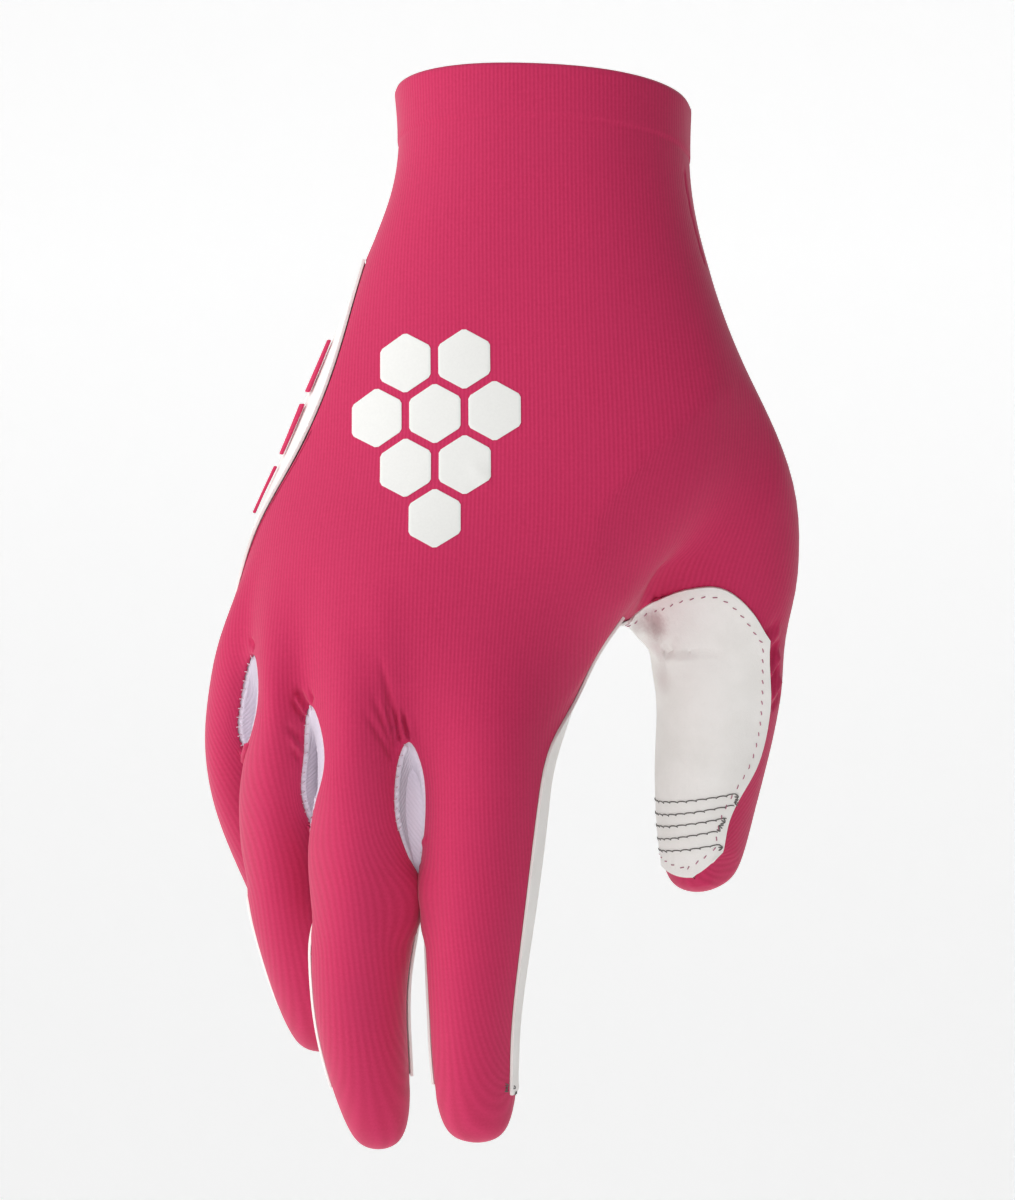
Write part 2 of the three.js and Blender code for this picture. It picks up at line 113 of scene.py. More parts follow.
class GloveColours(bpy.types.PropertyGroup):
    """Colours of the glove's cloths and threads."""
    knit: colour("Knit", "Ribs of the knit back", (203, 43, 94))
    # Painted shade: the knit's darker colour in the grooves between its ribs
    knit_valley: colour("Knit valleys", "Grooves between the ribs", (188, 33, 81))
    suede: colour("Suede", "Palm and thumb patch", (247, 244, 241))
    suede_dust: colour("Suede shade", "Darker patches in the nap of the suede", (238, 235, 231))
    # Painted shade with a pink cast of light reflected from the knit, in the dimple of the thumb's web
    rubbed: colour("Painted web shade", "Places of the suede that took colour from the knit", (176, 128, 134))
    gusset: colour("Gusset", "Stretch inserts between the fingers", (224, 212, 227))
    print_film: colour("Print", "Printed cells on the back", (231, 231, 228))
    rubber: colour("Rubber", "Raised pads on the edge of the palm", (206, 44, 92))
    white_thread: colour("White thread", "Seams of the gussets", (234, 206, 220))
    pink_thread: colour("Pink thread", "Topstitch of the thumb patch", (190, 116, 140))
    grip_thread: colour("Grip thread", "Grip rows on thumb and index finger", (112, 108, 105))
    studio: colour("Studio", "Floor and backdrop", (244, 244, 244))


class GloveSizes(bpy.types.PropertyGroup):
    """Sizes of the glove's ribs, seams, stitches and print."""
    rib_pitch: length("Rib pitch", "From one rib of the knit to the next", 0.8)
    rib_depth: length("Rib depth", "Height of the ribs over their grooves", 0.04)
    course_pitch: length("Course pitch", "From one row of loops to the next", 1.1)
    seam_reach: length("Seam reach", "How far a panel's edge is let out towards its neighbour", 0.11)
    lap: length("Lap", "How far the suede's cut edge laps over the knit", 0.45)
    curl: length("Curl", "How far the suede's cut edge stands up", 0.4)
    gusset_reach: length("Gusset reach", "How far a gusset's edge runs on under the knit", 0.75)
    puff: length("Puff", "How far a gusset bulges between two stitches", 0.35)
    hem_step: length("Hem step", "How far the doubled cloth of the hem stands out", 0.22)
    knit_fold: length("Knit fold", "How deep the knit's edge turns in at a seam", 0.28)
    edge_ring: length("Edge ring", "Width of the strip that turns in at a seam", 0.55)
    stitch: length("Stitch", "Length of a stitch of the gusset seams", 2.2)
    thread: length("Thread", "Thickness of the sewing threads", 0.26)
    topstitch: length("Topstitch", "From one stitch of the thumb patch to the next", 2.35)
    topstitch_inset: length("Topstitch inset", "From the patch's cut edge to its topstitch", 1.6)
    grip_stitch: length("Grip stitch", "Length of a stitch of the grip rows", 2.1)
    hem: length("Hem", "Height of the cuff's hem", 10.5)
    cell: length("Print cell", "Width of a printed cell across its flats", 10.4)
    cell_pitch: length("Cell pitch", "From one printed cell to the next", 12.0)
    film: length("Film", "Thickness of the print", 0.1)
    levels: IntProperty(name="Smoothing", description="Subdivision of the panels", default=2, min=1, max=3)


# Places measured on the glove, in millimetres in the frame

def rows(columns, *values):
    """A table of named columns."""
    row = namedtuple("Row", columns)
    return [row(*value) for value in values]


# Seams of the smooth surface that lie a little aside: a point of a seam, the point that it moves to along the
# cloth, and how far round it the cloth follows.
SEAM_MOVES = rows(
    "x y z to_x to_y to_z reach",
    (-58.9, 6.1, -113.0, -58.4, 4.7, -111.1, 5.0),
    (-58.4, 5.0, -118.0, -56.6, 1.2, -118.4, 7.0),
    (-58.8, 5.4, -124.0, -57.8, 3.2, -124.2, 6.0),
    (-62.3, 18.3, -124.4, -64.3, 18.9, -125.4, 5.0),
    (-60.0, 8.0, -129.4, -61.0, 10.5, -129.0, 6.0),
    (-60.8, 9.8, -131.7, -63.5, 17.0, -131.0, 11.0),
    (-62.2, 13.9, -135.9, -63.4, 21.9, -135.0, 12.0),
    (-63.2, 17.9, -140.2, -62.5, 25.9, -139.2, 12.0),
    (-63.6, 21.1, -144.7, -61.0, 28.5, -143.7, 12.0),
    (-63.7, 22.6, -147.2, -61.0, 30.0, -146.2, 12.0),
    (-46.1, -1.3, -124.2, -46.0, -2.0, -122.6, 4.0),
    (-44.9, -2.6, -127.7, -43.4, -4.6, -127.8, 5.0),
    (-44.4, -2.2, -133.6, -42.8, -4.5, -133.8, 6.0),
    (-45.6, 1.5, -141.9, -45.8, 2.3, -141.8, 4.0),
    (-47.9, 9.5, -135.8, -48.8, 7.9, -136.2, 5.0),
    (-47.7, 13.1, -140.5, -49.6, 11.2, -140.5, 6.0),
    (-46.7, 5.0, -146.5, -48.3, 12.0, -145.5, 11.0),
    (-47.3, 6.9, -148.9, -48.6, 14.9, -148.0, 12.0),
    (-47.9, 9.6, -152.8, -48.4, 17.6, -151.8, 12.0),
    (-48.1, 12.6, -158.0, -47.8, 20.5, -157.0, 12.0),
    (-24.2, -0.9, -135.0, -25.1, 0.6, -135.1, 4.0),
    (-24.3, 4.4, -147.4, -25.5, 5.8, -147.8, 2.6),
    (-24.4, 4.9, -148.5, -25.2, 6.4, -148.6, 5.0),
    (-24.6, 6.5, -153.0, -24.9, 7.6, -153.0, 6.0),
    (-28.9, 3.2, -151.0, -28.4, 4.4, -151.2, 5.0),
    (-28.6, 4.8, -153.5, -26.8, 9.2, -153.8, 7.0),
    (-28.4, 6.6, -156.0, -25.6, 13.6, -155.6, 11.0),
    (-28.0, 10.0, -160.9, -25.8, 16.2, -159.8, 10.0),
    (-26.4, 14.7, -162.2, -27.0, 17.4, -160.8, 8.0),
    (-28.5, 19.2, -170.6, -28.7, 21.6, -168.9, 8.0),
    (-29.9, 24.3, -178.4, -30.1, 26.6, -176.6, 8.0),
    (-30.4, 30.0, -186.2, -30.6, 32.1, -184.4, 8.0),
    (-30.5, 35.0, -192.0, -30.8, 36.8, -190.0, 6.0),
    (-25.5, 14.8, -166.7, -25.6, 16.4, -165.9, 7.0),
    (-25.3, 18.8, -175.7, -25.5, 20.4, -174.9, 7.0),
    (-25.3, 23.1, -184.6, -25.4, 24.7, -183.8, 7.0),
    (-25.2, 27.4, -192.9, -25.3, 29.0, -192.1, 6.0),
    (16.6, 1.9, -103.4, 15.6, 8.4, -104.9, 10.0),
    (17.2, 4.9, -100.7, 16.8, 11.8, -103.1, 11.0),
    (17.6, 9.6, -98.8, 17.5, 15.2, -102.4, 10.0),
    (19.1, 13.1, -99.9, 19.2, 15.1, -101.3, 5.0),
    (21.6, 13.2, -100.1, 21.6, 14.0, -100.6, 3.0),
    (24.2, 11.1, -99.0, 24.2, 11.7, -100.3, 5.0),
    (28.4, 9.3, -98.3, 28.4, 9.5, -99.3, 6.0),
    (15.1, 2.0, -105.3, 14.0, 8.8, -106.2, 11.0),
    (11.4, 2.4, -110.4, 11.2, 9.4, -110.4, 11.0),
    (8.3, 2.6, -115.4, 8.6, 9.0, -115.0, 10.0),
    (5.7, 2.4, -120.6, 6.4, 7.8, -120.0, 9.0),
    (44.1, 18.1, -108.0, 42.5, 17.3, -108.2, 5.0),
    (37.9, 35.0, -136.8, 36.8, 33.3, -137.0, 5.0),
    (35.5, 36.2, -142.0, 34.0, 34.2, -142.1, 6.0),
    (33.7, 39.0, -148.2, 32.8, 37.9, -148.1, 6.0),
)

# Two corners of the thumb's patch, in the web and at its lower end: points of its cut edge, and where they
# come to lie
PATCH_CORNERS = (
    rows(
        "x y z to_x to_y to_z",
        (15.0, 6.6, -105.5, 13.9, 12.4, -105.0),
        (15.9, 3.5, -104.4, 15.0, 11.0, -105.3),
        (16.6, 1.9, -103.4, 15.7, 10.6, -105.0),
        (17.2, 4.9, -100.7, 16.0, 13.0, -104.5),
        (17.2, 8.0, -99.2, 16.5, 14.7, -103.7),
        (17.6, 9.6, -98.8, 16.9, 15.2, -103.1),
        (18.3, 11.3, -99.0, 17.9, 15.4, -102.2),
        (19.1, 13.1, -99.9, 19.1, 15.0, -101.4),
        (20.2, 14.0, -100.5, 20.4, 14.4, -100.9),
        (21.6, 13.3, -100.1, 21.9, 13.3, -100.5),
        (23.3, 11.8, -99.3, 23.6, 11.9, -100.0),
        (25.2, 10.5, -98.7, 25.4, 10.8, -99.5),
        (27.3, 9.6, -98.4, 27.3, 9.9, -99.1),
        (29.6, 9.1, -98.2, 29.6, 9.5, -98.8),
    ),
    rows(
        "x y z to_x to_y to_z",
        (33.3, 37.9, -148.4, 32.4, 37.0, -148.2),
        (33.1, 38.3, -149.3, 31.6, 36.9, -149.0),
        (32.9, 38.8, -150.1, 31.0, 36.8, -149.5),
        (32.7, 39.2, -150.9, 30.5, 36.9, -150.0),
        (31.6, 38.7, -151.4, 29.9, 37.1, -150.5),
        (30.6, 38.2, -151.9, 29.3, 37.2, -151.0),
        (29.5, 38.1, -152.3, 28.6, 37.4, -151.5),
        (28.5, 38.0, -152.6, 27.9, 37.6, -152.0),
        (27.4, 38.2, -152.8, 26.9, 37.9, -152.5),
        (26.4, 38.4, -152.9, 26.4, 38.4, -152.9),
    ),
)

# Folds: a line on the cloth with its breadth and height, and how far its ends take to fade. A height below
# nothing is a valley.
FOLDS = rows(
    "cloth x y z to_x to_y to_z width height fade_in fade_out",
    ("knit", -31.4, -11.1, -112.5, -27.8, -5.1, -130.8, 0.62, -0.76, 10, 1),
    ("knit", -28.8, -8.4, -122.1, -27.4, -5.1, -130.2, 0.44, -0.93, 4, 1),
    ("knit", -27.4, -7.1, -123.9, -26.1, -4.5, -129.2, 0.48, -1.35, 2.5, 0.8),
    ("knit", -30.3, -9.3, -122.2, -28.2, -5.0, -131.6, 0.53, -0.85, 5, 1),
    ("knit", -33.1, -10.4, -120.3, -28.5, -4.6, -132.5, 0.62, -0.76, 7, 1),
    ("knit", -35.1, -10.2, -123.2, -29.0, -4.6, -133.5, 0.7, -0.59, 7, 1),
    ("knit", -28.1, -7.7, -123.0, -26.8, -4.8, -129.7, 0.44, 0.76, 3, 0.8),
    ("knit", -29.5, -8.9, -122.0, -27.9, -5.0, -130.9, 0.4, 0.68, 4, 0.8),
    ("knit", -31.8, -9.9, -121.0, -28.4, -4.8, -132.0, 0.53, 0.51, 6, 0.8),
    ("knit", -26.2, -6.8, -124.9, -25.3, -4.2, -129.2, 0.62, 0.59, 2, 0.8),
    ("knit", -49.0, -2.8, -118.8, -46.4, -1.0, -123.2, 0.9, -1.01, 1.5, 0.8),
    ("knit", -45.5, -3.5, -119.3, -45.6, -3.1, -122.0, 0.53, -1.10, 1.5, 0.5),
    ("knit", -49.9, -2.3, -120.7, -47.3, 0.9, -125.1, 0.53, -0.85, 2, 0.8),
    ("knit", -49.3, -2.5, -119.9, -46.9, -0.2, -124.1, 0.35, 0.59, 2, 0.8),
    ("knit", -51.4, -1.0, -125.3, -48.3, 3.6, -129.0, 0.7, -0.60, 3, 2),
    ("knit", -50.3, 2.5, -129.5, -48.9, 6.3, -133.0, 0.62, -0.50, 2, 2),
    ("knit", -50.8, 0.7, -127.4, -48.4, 5.4, -131.5, 0.62, 0.59, 3, 1),
    ("knit", -59.4, 6.1, -107.5, -58.1, 4.0, -110.0, 0.53, -0.75, 1.2, 0.5),
    ("knit", -23.2, 3.6, -148.0, -25.8, 7.2, -149.4, 0.5, 0.40, 0.8, 0.4),
    ("knit", -32.9, -12.4, -94.9, -27.5, -7.9, -122.1, 3.5, 0.45, 12, 8),
    ("knit", -12.8, -15.5, -75.5, -10.6, -15.6, -80.5, 0.9, 0.22, 2, 2),
    ("knit", -10.8, -15.6, -77.0, -8.8, -15.7, -82.0, 0.9, 0.18, 2, 2),
    ("suede", 18.2, 15.4, -105.0, 23.5, 15.0, -103.2, 1.3, 0.55, 1, 2),
    ("knit", 28.6, -5.8, -15.8, 32.9, -3.5, -36.6, 0.6, -0.35, 2, 2),
    ("knit", 42.4, 17.1, -107.9, 46.5, 18.9, -103.2, 0.8, -0.60, 1, 3),
    ("knit", 42.7, 20.9, -113.0, 46.5, 21.9, -107.3, 0.9, -0.90, 1, 1.5),
    ("knit", 43.1, 24.3, -117.0, 46.0, 26.0, -111.8, 0.9, -1.10, 1, 1),
    ("knit", 43.2, 28.7, -120.6, 45.3, 31.1, -116.2, 0.8, -0.70, 1, 1),
    ("knit", 42.6, 19.0, -110.5, 46.8, 20.4, -105.3, 0.9, 0.60, 1, 1),
    ("knit", 42.9, 22.6, -115.0, 46.6, 24.0, -109.6, 0.9, 0.90, 1, 1),
    ("knit", 43.2, 26.5, -118.8, 46.0, 28.5, -114.0, 0.8, 0.70, 1, 1),
    ("suede", 20.6, 20.6, -109.6, 25.7, 17.4, -110.0, 0.45, -0.75, 1.5, 1),
    ("suede", 24.8, 17.9, -110.0, 29.8, 16.1, -109.8, 0.45, -0.60, 1, 1),
    ("suede", 28.8, 16.2, -109.8, 36.5, 16.6, -110.1, 0.4, -0.35, 1, 4),
    ("suede", 21.0, 20.4, -111.4, 29.0, 16.6, -111.4, 1.2, 0.35, 1, 3),
)

# Places where the hand inside pushes the whole cloth out or lets it in, how far round them it follows, and
# from which x to which the cloth is meant
PUSHES = rows(
    "x y z by_x by_y by_z reach from_x upto_x",
    (20.2, 17.0, -103.5, 0.4, 2.2, 0.0, 4.5, -100, 100),
    (19.2, 24.0, -111.0, 1.6, 0.0, 0.0, 6.0, -100, 100),
    (18.4, 30.0, -118.0, 1.2, 0.0, 0.0, 18.0, -100, 100),
    (47.5, 24.0, -108.0, -1.0, 0.0, 0.0, 14.0, -100, 100),
    (41.5, 38.0, -137.5, 0.6, 0.0, 0.0, 3.0, -100, 100),
    (-27.6, 9.5, -157.5, 1.2, 0.0, 0.0, 7.0, -100, -26.2),
    (-27.8, 13.0, -163.0, 1.0, 0.0, 0.0, 7.0, -100, -26.2),
    (-24.8, 9.5, -157.5, -1.2, 0.0, 0.0, 7.0, -26.2, 100),
    (-24.8, 13.0, -163.0, -1.0, 0.0, 0.0, 7.0, -26.2, 100),
)

# The web of the gusset between middle and index finger, where it runs on between them: its left and right
# edge from its top to its lower end
WEB = rows(
    "x y z to_x to_y",
    (-30.2, -1.2, -133.0, -22.4, 0.6),
    (-30.4, 0.0, -138.0, -22.4, 2.0),
    (-30.4, 1.6, -143.0, -22.4, 3.6),
    (-30.2, 4.6, -148.0, -22.6, 6.0),
    (-29.8, 9.0, -153.0, -22.8, 9.4),
    (-29.6, 13.4, -156.5, -23.0, 12.6),
    (-29.4, 17.6, -161.0, -23.2, 17.0),
)

# The height below which the web alone closes the gap between the two fingers
WEB_TAKES_OVER = -155.0 * MM

# How deep between the fingers the gussets turn down, and the height that the cuff's open edge lies above
GUSSET_TURN = 6 * MM
CUFF_FROM = -6 * MM

# Where the cage of the frame leaves a crease that the cloth doesn't have
SOFT_SPOTS = rows(
    "x y z reach",
    (38.5, -2.6, -73.0, 12.0),
    (36.9, -4.6, -77.6, 14.0),
    (31.7, -8.9, -84.5, 14.0),
    (25.7, -7.9, -90.2, 14.0),
    (21.5, -6.9, -94.3, 10.0),
    (15.8, 11.5, -104.0, 5.0),
)

# Painted shade with a pink cast, in the dimple of the thumb's web: middle, reach and share of its colour
SUEDE_PAINTED_SHADE = rows(
    "x y z reach share",
    (20.4, 17.6, -103.8, 6.0, 0.65),
    (20.0, 21.0, -109.5, 5.5, 0.35),
    (20.5, 24.0, -114.5, 6.0, 0.22),
)

# The grip rows of the thumb, their ends on the patch as seen from the back of the hand, and the pairs of rows
# whose ends a tack joins
THUMB_GRIPS = rows(
    "x y z to_x to_y to_z",
    (19.4, 38.3, -137.9, 36.0, 32.5, -137.1),
    (19.3, 39.6, -140.4, 35.7, 33.7, -139.2),
    (19.1, 41.0, -142.7, 33.5, 33.7, -142.0),
    (19.2, 42.3, -145.2, 32.0, 34.4, -144.5),
    (19.4, 43.2, -147.4, 32.5, 36.2, -147.0),
)
THUMB_AXIS = Vector((0.035, 0.29, -0.956)).normalized()
THUMB_TACKS = ((0, 1), (2, 3))

# The tacks by the end of the suede on the index finger's tip, and the piece that each is sewn to
INDEX_TACKS = rows(
    "piece x y z to_x to_y to_z",
    ("knit_back", -9.9, 24.0, -195.4, -9.8, 25.0, -197.4),
    ("suede_palm", -8.4, 26.0, -195.8, -8.4, 26.2, -196.5),
    ("suede_palm", -8.8, 27.8, -197.6, -9.1, 28.4, -198.9),
)

# The print: cells in rows, counted from its middle
PRINT_MIDDLE = (-19.9, -71.6)
PRINT_CELLS = rows(
    "across up",
    (-0.5, 1.5), (0.5, 1.5),
    (-1.0, 0.5), (0.0, 0.5), (1.0, 0.5),
    (-0.5, -0.5), (0.5, -0.5),
    (0.0, -1.5),
)

# Every panel of cloth: the node that it stands for, its wall, how proud of the knit it lies, whether its edge
# is folded in at the seams, and by how many steps its faces are finer than the others'
Panel = namedtuple("Panel", "node wall proud folded finer")
PANELS = {
    "knit_back": Panel("back_panel", KNIT_WALL, 0.0, True, 0),
    "knit_cuff_underside": Panel("cuff_underside", KNIT_WALL, 0.0, True, 0),
    "suede_palm": Panel("palm_panel", SUEDE_WALL, SUEDE_PROUD, False, 0),
    "suede_thumb_patch": Panel("thumb_panel", SUEDE_WALL, SUEDE_PROUD, False, 0),
    "stretch_gusset_little_ring": Panel("gusset_little_ring", KNIT_WALL, 0.0, False, 1),
    "stretch_gusset_ring_middle": Panel("gusset_ring_middle", KNIT_WALL, 0.0, False, 1),
    "stretch_gusset_middle_index": Panel("gusset_middle_index", KNIT_WALL, 0.0, False, 1),
}
GUSSETS = [name for name in PANELS if "gusset" in name]
SUEDES = ["suede_palm", "suede_thumb_patch"]

# Whose open edges each panel's own open edge follows
LEADERS = {"knit_back": SUEDES, **{name: ["knit_back", *SUEDES] for name in GUSSETS}}

# A mark on a gusset's seam: its place, the way out of the gusset, how far along the seam it is, whether it is
# on the side that is seen stitched, towards the little finger, and the gusset's name
SeamMark = namedtuple("SeamMark", "place out run stitched gusset")

# How near to each other two sewn edges lie, a seam's mark and the knit back, and an edge and the tables of
# the patch's corners
SEAM_GAP = 1.3 * MM
MARK_GAP = 0.7 * MM
CORNER_GAP = 0.7 * MM

# What the operators share: the panels laid out smooth and flat, their skins with the seams in place, the
# finished surfaces, and the marks along the gussets' seams
flat_panels = {}
skins = {}
surfaces = {}
seam_marks = []


def colours():
    return bpy.context.scene.glove_colours


def sizes():
    return bpy.context.scene.glove_sizes


# Materials

def give(socket, value):
    """Links a node's socket to another one, or sets its own value."""
    if isinstance(value, bpy.types.NodeSocket):
        socket.id_data.links.new(value, socket)
    else:
        socket.default_value = value


def shader_nodes(name, roughness, sheen=0.0, sheen_roughness=0.5, specular=0.5):
    """A new material, a function that adds nodes to it, and one that sets its shader's sockets."""
    material = bpy.data.materials.new(name)
    material.use_nodes = True
    tree = material.node_tree
    shader = tree.nodes["Principled BSDF"]

    def add(kind, settings=None, **inputs):
        made = tree.nodes.new(kind)
        for key, value in (settings or {}).items():
            setattr(made, key, value)
        for key, value in inputs.items():
            give(made.inputs[int(key[1:])] if key[1:].isdigit() else made.inputs[key], value)
        return made

    def surface(socket, value):
        give(shader.inputs[socket], value)

    surface("Roughness", roughness)
    surface("Sheen Weight", sheen)
    surface("Sheen Roughness", sheen_roughness)
    surface("Specular IOR Level", specular)
    return material, add, surface


def reckon(add, operation, *values):
    """What a math node makes of some values."""
    numbered = {"i" + str(i): value for i, value in enumerate(values)}
    return add("ShaderNodeMath", {"operation": operation}, **numbered).outputs[0]


def remap(add, value, low, high, to_low=0.0, to_high=1.0, way="LINEAR"):
    """A value carried from one range to another."""
    ends = {"From Min": low, "From Max": high, "To Min": to_low, "To Max": to_high}
    return add("ShaderNodeMapRange", {"interpolation_type": way}, Value=value, **ends).outputs["Result"]


def blend(add, kind, factor, low, high):
    """Two colours or two directions, blended by a factor."""
    mix = add("ShaderNodeMix", {"data_type": kind}, Factor=factor)
    ends = {socket.name: socket for socket in mix.inputs if socket.type == kind}
    give(ends["A"], low)
    give(ends["B"], high)
    return [socket for socket in mix.outputs if socket.type == kind][0]


def object_place(add):
    return add("ShaderNodeTexCoord").outputs["Object"]


def wave_along(add, coordinate, pitch):
    """A wave from 0 to 1 with its crests a pitch apart along a coordinate in metres."""
    wave = reckon(add, "COSINE", reckon(add, "MULTIPLY", coordinate, math.tau / pitch))
    return reckon(add, "MULTIPLY_ADD", wave, 0.5, 0.5)


def noise_at(add, place, size, detail=3.0):
    """Soft noise whose lumps are about the given size in metres."""
    return add("ShaderNodeTexNoise", None, Vector=place, Scale=1 / size, Detail=detail).outputs["Fac"]


def bump_of(add, height, distance, strength):
    return add("ShaderNodeBump", None, Height=height, Distance=distance, Strength=strength)


def times(share, tint):
    """A lighter or darker tone of a colour."""
    return tuple(min(1.0, share * c) for c in tint[:3]) + (1.0,)


def knit_material(name, crest, valley, is_gusset):
    """Ribbed knit. Its ribs run down the flat pattern that the piece's UV map holds in metres."""
    size = sizes()
    material, add, surface = shader_nodes(name, 0.75, sheen=0.16, sheen_roughness=0.5, specular=0.25)
    flat = add("ShaderNodeUVMap", {"uv_map": "pattern"}).outputs["UV"]
    parts = add("ShaderNodeSeparateXYZ", None, Vector=flat)
    across, along = parts.outputs["X"], parts.outputs["Y"]
    if is_gusset:
        across = reckon(add, "MULTIPLY_ADD", along, 0.7, across)
    rib = wave_along(add, across, size.rib_pitch)
    height = reckon(add, "MULTIPLY_ADD", wave_along(add, along, size.course_pitch), 0.12, rib)
    place = object_place(add)
    flecks = reckon(add, "MULTIPLY_ADD", noise_at(add, place, 0.5 * MM, 2.0), 1.2, -0.5)
    # The grooves between the ribs take the darker colour: painted shade
    base = blend(add, "RGBA", reckon(add, "MULTIPLY_ADD", height, 0.6, flecks), valley, crest)
    clouds = remap(add, noise_at(add, place, 9 * MM), 0.35, 0.75, to_high=0.35)
    tinted = blend(add, "RGBA", clouds, base, times(0.9, crest))
    surface("Base Color", tinted)
    fuzz = noise_at(add, place, 0.35 * MM, 1.0)
    bump = bump_of(add, reckon(add, "MULTIPLY_ADD", fuzz, 0.35, height), size.rib_depth, 0.8)
    if is_gusset:
        facing, to_back = stretched_flat(add)
        give(bump.inputs["Normal"], facing)
        # Painted light: the gusset glows in its own colour, brightening the shade between the fingers
        surface("Emission Color", tinted)
        surface("Emission Strength", reckon(add, "MULTIPLY", to_back, GUSSET_PAINTED_GLOW))
    surface("Normal", bump.outputs["Normal"])
    return material


def stretched_flat(add):
    """The way a gusset's cloth faces, drawn towards that of a strip stretched flat between its two seams, and
    how far it is drawn, which is also the share of the gusset's painted glow."""
    own = add("ShaderNodeNewGeometry").outputs["Normal"]
    depth = add("ShaderNodeSeparateXYZ", None, Vector=own).outputs["Y"]
    to_back = remap(add, depth, 0.1, -0.2, to_high=0.8)
    drawn = blend(add, "VECTOR", to_back, own, (-0.12, -0.96, -0.12))
    return add("ShaderNodeVectorMath", {"operation": "NORMALIZE"}, i0=drawn).outputs["Vector"], to_back


def suede_material(name):
    """Synthetic suede: a short matt nap with faint darker strokes, and painted shade in the thumb's web."""
    tint = colours()
    material, add, surface = shader_nodes(name, 0.92, sheen=0.25, sheen_roughness=0.6, specular=0.2)
    place = object_place(add)
    nap = noise_at(add, place, 0.5 * MM, 4.0)
    strokes = remap(add, noise_at(add, place, 7 * MM, 4.0), 0.38, 0.68)
    shade = reckon(add, "MULTIPLY", reckon(add, "MULTIPLY_ADD", nap, 0.5, strokes), 0.6)
    base = blend(add, "RGBA", shade, tuple(tint.suede), tuple(tint.suede_dust))
    # Painted shade with a pink cast, darkest in the dimple of the thumb's web
    for shade_spot in SUEDE_PAINTED_SHADE:
        middle = tuple(value * MM for value in shade_spot[:3])
        off = add("ShaderNodeVectorMath", {"operation": "DISTANCE"}, i0=place, i1=middle).outputs["Value"]
        ragged = reckon(add, "MULTIPLY_ADD", nap, 2.0 * MM, off)
        close = remap(add, ragged, 1.5 * MM, shade_spot.reach * MM, shade_spot.share, 0.0, "SMOOTHSTEP")
        base = blend(add, "RGBA", close, base, tuple(tint.rubbed))
    surface("Base Color", base)
    pile = reckon(add, "MULTIPLY_ADD", noise_at(add, place, 0.16 * MM, 2.0), 0.6, nap)
    surface("Normal", bump_of(add, pile, 0.08 * MM, 0.55).outputs["Normal"])
    return material


def grained_material(name, tints, grain, distance, strength, roughness, **finish):
    """Rubber with a faint pebble or thread with its twist: grain between a darker and a lighter tint."""
    material, add, surface = shader_nodes(name, roughness, **finish)
    lumps = noise_at(add, object_place(add), grain, 2.0)
    surface("Base Color", blend(add, "RGBA", lumps, *tints))
    surface("Normal", bump_of(add, lumps, distance, strength).outputs["Normal"])
    return material


def rubber_material(name, tint, roughness):
    tints = times(0.96, tint), times(1.03, tint)
    return grained_material(name, tints, 0.5 * MM, 0.03 * MM, 0.5, roughness, specular=0.3)


def thread_material(name, tint):
    tints = times(0.75, tint), tuple(tint)
    return grained_material(name, tints, 0.2 * MM, 0.05 * MM, 0.6, 0.6, sheen=0.2, specular=0.35)


def material_of(name):
    """The named material, made on its first use. No solid of the frame has one of these names."""
    if name in bpy.data.materials:
        return bpy.data.materials[name]
    tint = colours()
    if name == "magenta_ribbed_knit":
        return knit_material(name, tuple(tint.knit), tuple(tint.knit_valley), False)
    if name == "gusset_knit":
        # The gusset's grooves take a darker tone of its colour: painted shade
        return knit_material(name, tuple(tint.gusset), times(0.92, tint.gusset), True)
    if name == "napped_suede":
        return suede_material(name)
    if name == "pad_rubber":
        return rubber_material(name, tint.rubber, 0.6)
    if name == "white_print_film":
        return rubber_material(name, tint.print_film, 0.5)
    return thread_material(name, getattr(tint, name))


# Meshes

def glove_tree():
    """All the frame's solids as one search tree."""
    whole = bmesh.new()
    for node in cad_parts.values():
        whole.from_mesh(node.data)
    tree = BVHTree.FromBMesh(whole)
    whole.free()
    return tree


def face_groups(faces):
    """The faces in groups that hang together by their edges."""
    left = set(faces)
    groups = []
    while left:
        stack = [left.pop()]
        group = list(stack)
        while stack:
            for edge in stack.pop().edges:
                for face in edge.link_faces:
                    if face in left:
                        left.remove(face)
                        stack.append(face)
                        group.append(face)
        groups.append(group)
    return groups


def outer_skin(node, wall):
    """The outer side of a panel's wall as a bmesh of quads. The rim's faces are those with an edge as long as
    the wall is thick, and the outer side is the one from which fewer lines meet the glove again."""
    skin = bmesh.new()
    skin.from_mesh(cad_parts[node].data)
    bmesh.ops.remove_doubles(skin, verts=skin.verts, dist=MERGE)
    rim = {f for e in skin.edges if abs(e.calc_length() - wall) < WALL_TOLERANCE for f in e.link_faces}
    groups = sorted(face_groups([f for f in skin.faces if f not in rim]), key=len)[-2:]
    tree = glove_tree()

    def hidden(group):
        met = [tree.ray_cast(f.calc_center_median() + f.normal * 0.05 * MM, f.normal)[0] for f in group]
        return sum(1 for hit in met if hit) / len(group)

    outer = set(min(groups, key=hidden))
    bmesh.ops.delete(skin, geom=[f for f in skin.faces if f not in outer], context="FACES")
    join_flat(skin)
    return skin


def new_object(name, mesh):
    made = bpy.data.objects.new(name, mesh)
    bpy.context.scene.collection.objects.link(made)
    return made


def object_from(name, bm):
    mesh = bpy.data.meshes.new(name)
    bm.to_mesh(mesh)
    return new_object(name, mesh)


def bmesh_of(obj):
    bm = bmesh.new()
    bm.from_mesh(obj.data)
    return bm


def put_back(obj, bm):
    bm.to_mesh(obj.data)
    bm.free()


def add_to(bm, part):
    """Adds a finished part to a mesh, and frees the part."""
    mesh = bpy.data.meshes.new("part")
    part.to_mesh(mesh)
    part.free()
    bm.from_mesh(mesh)
    bpy.data.meshes.remove(mesh)


def join_flat(bm):
    """Joins the loose triangles of the frame's solids to quads and flats."""
    bmesh.ops.join_triangles(
        bm, faces=bm.faces, angle_face_threshold=math.pi, angle_shape_threshold=math.pi
    )


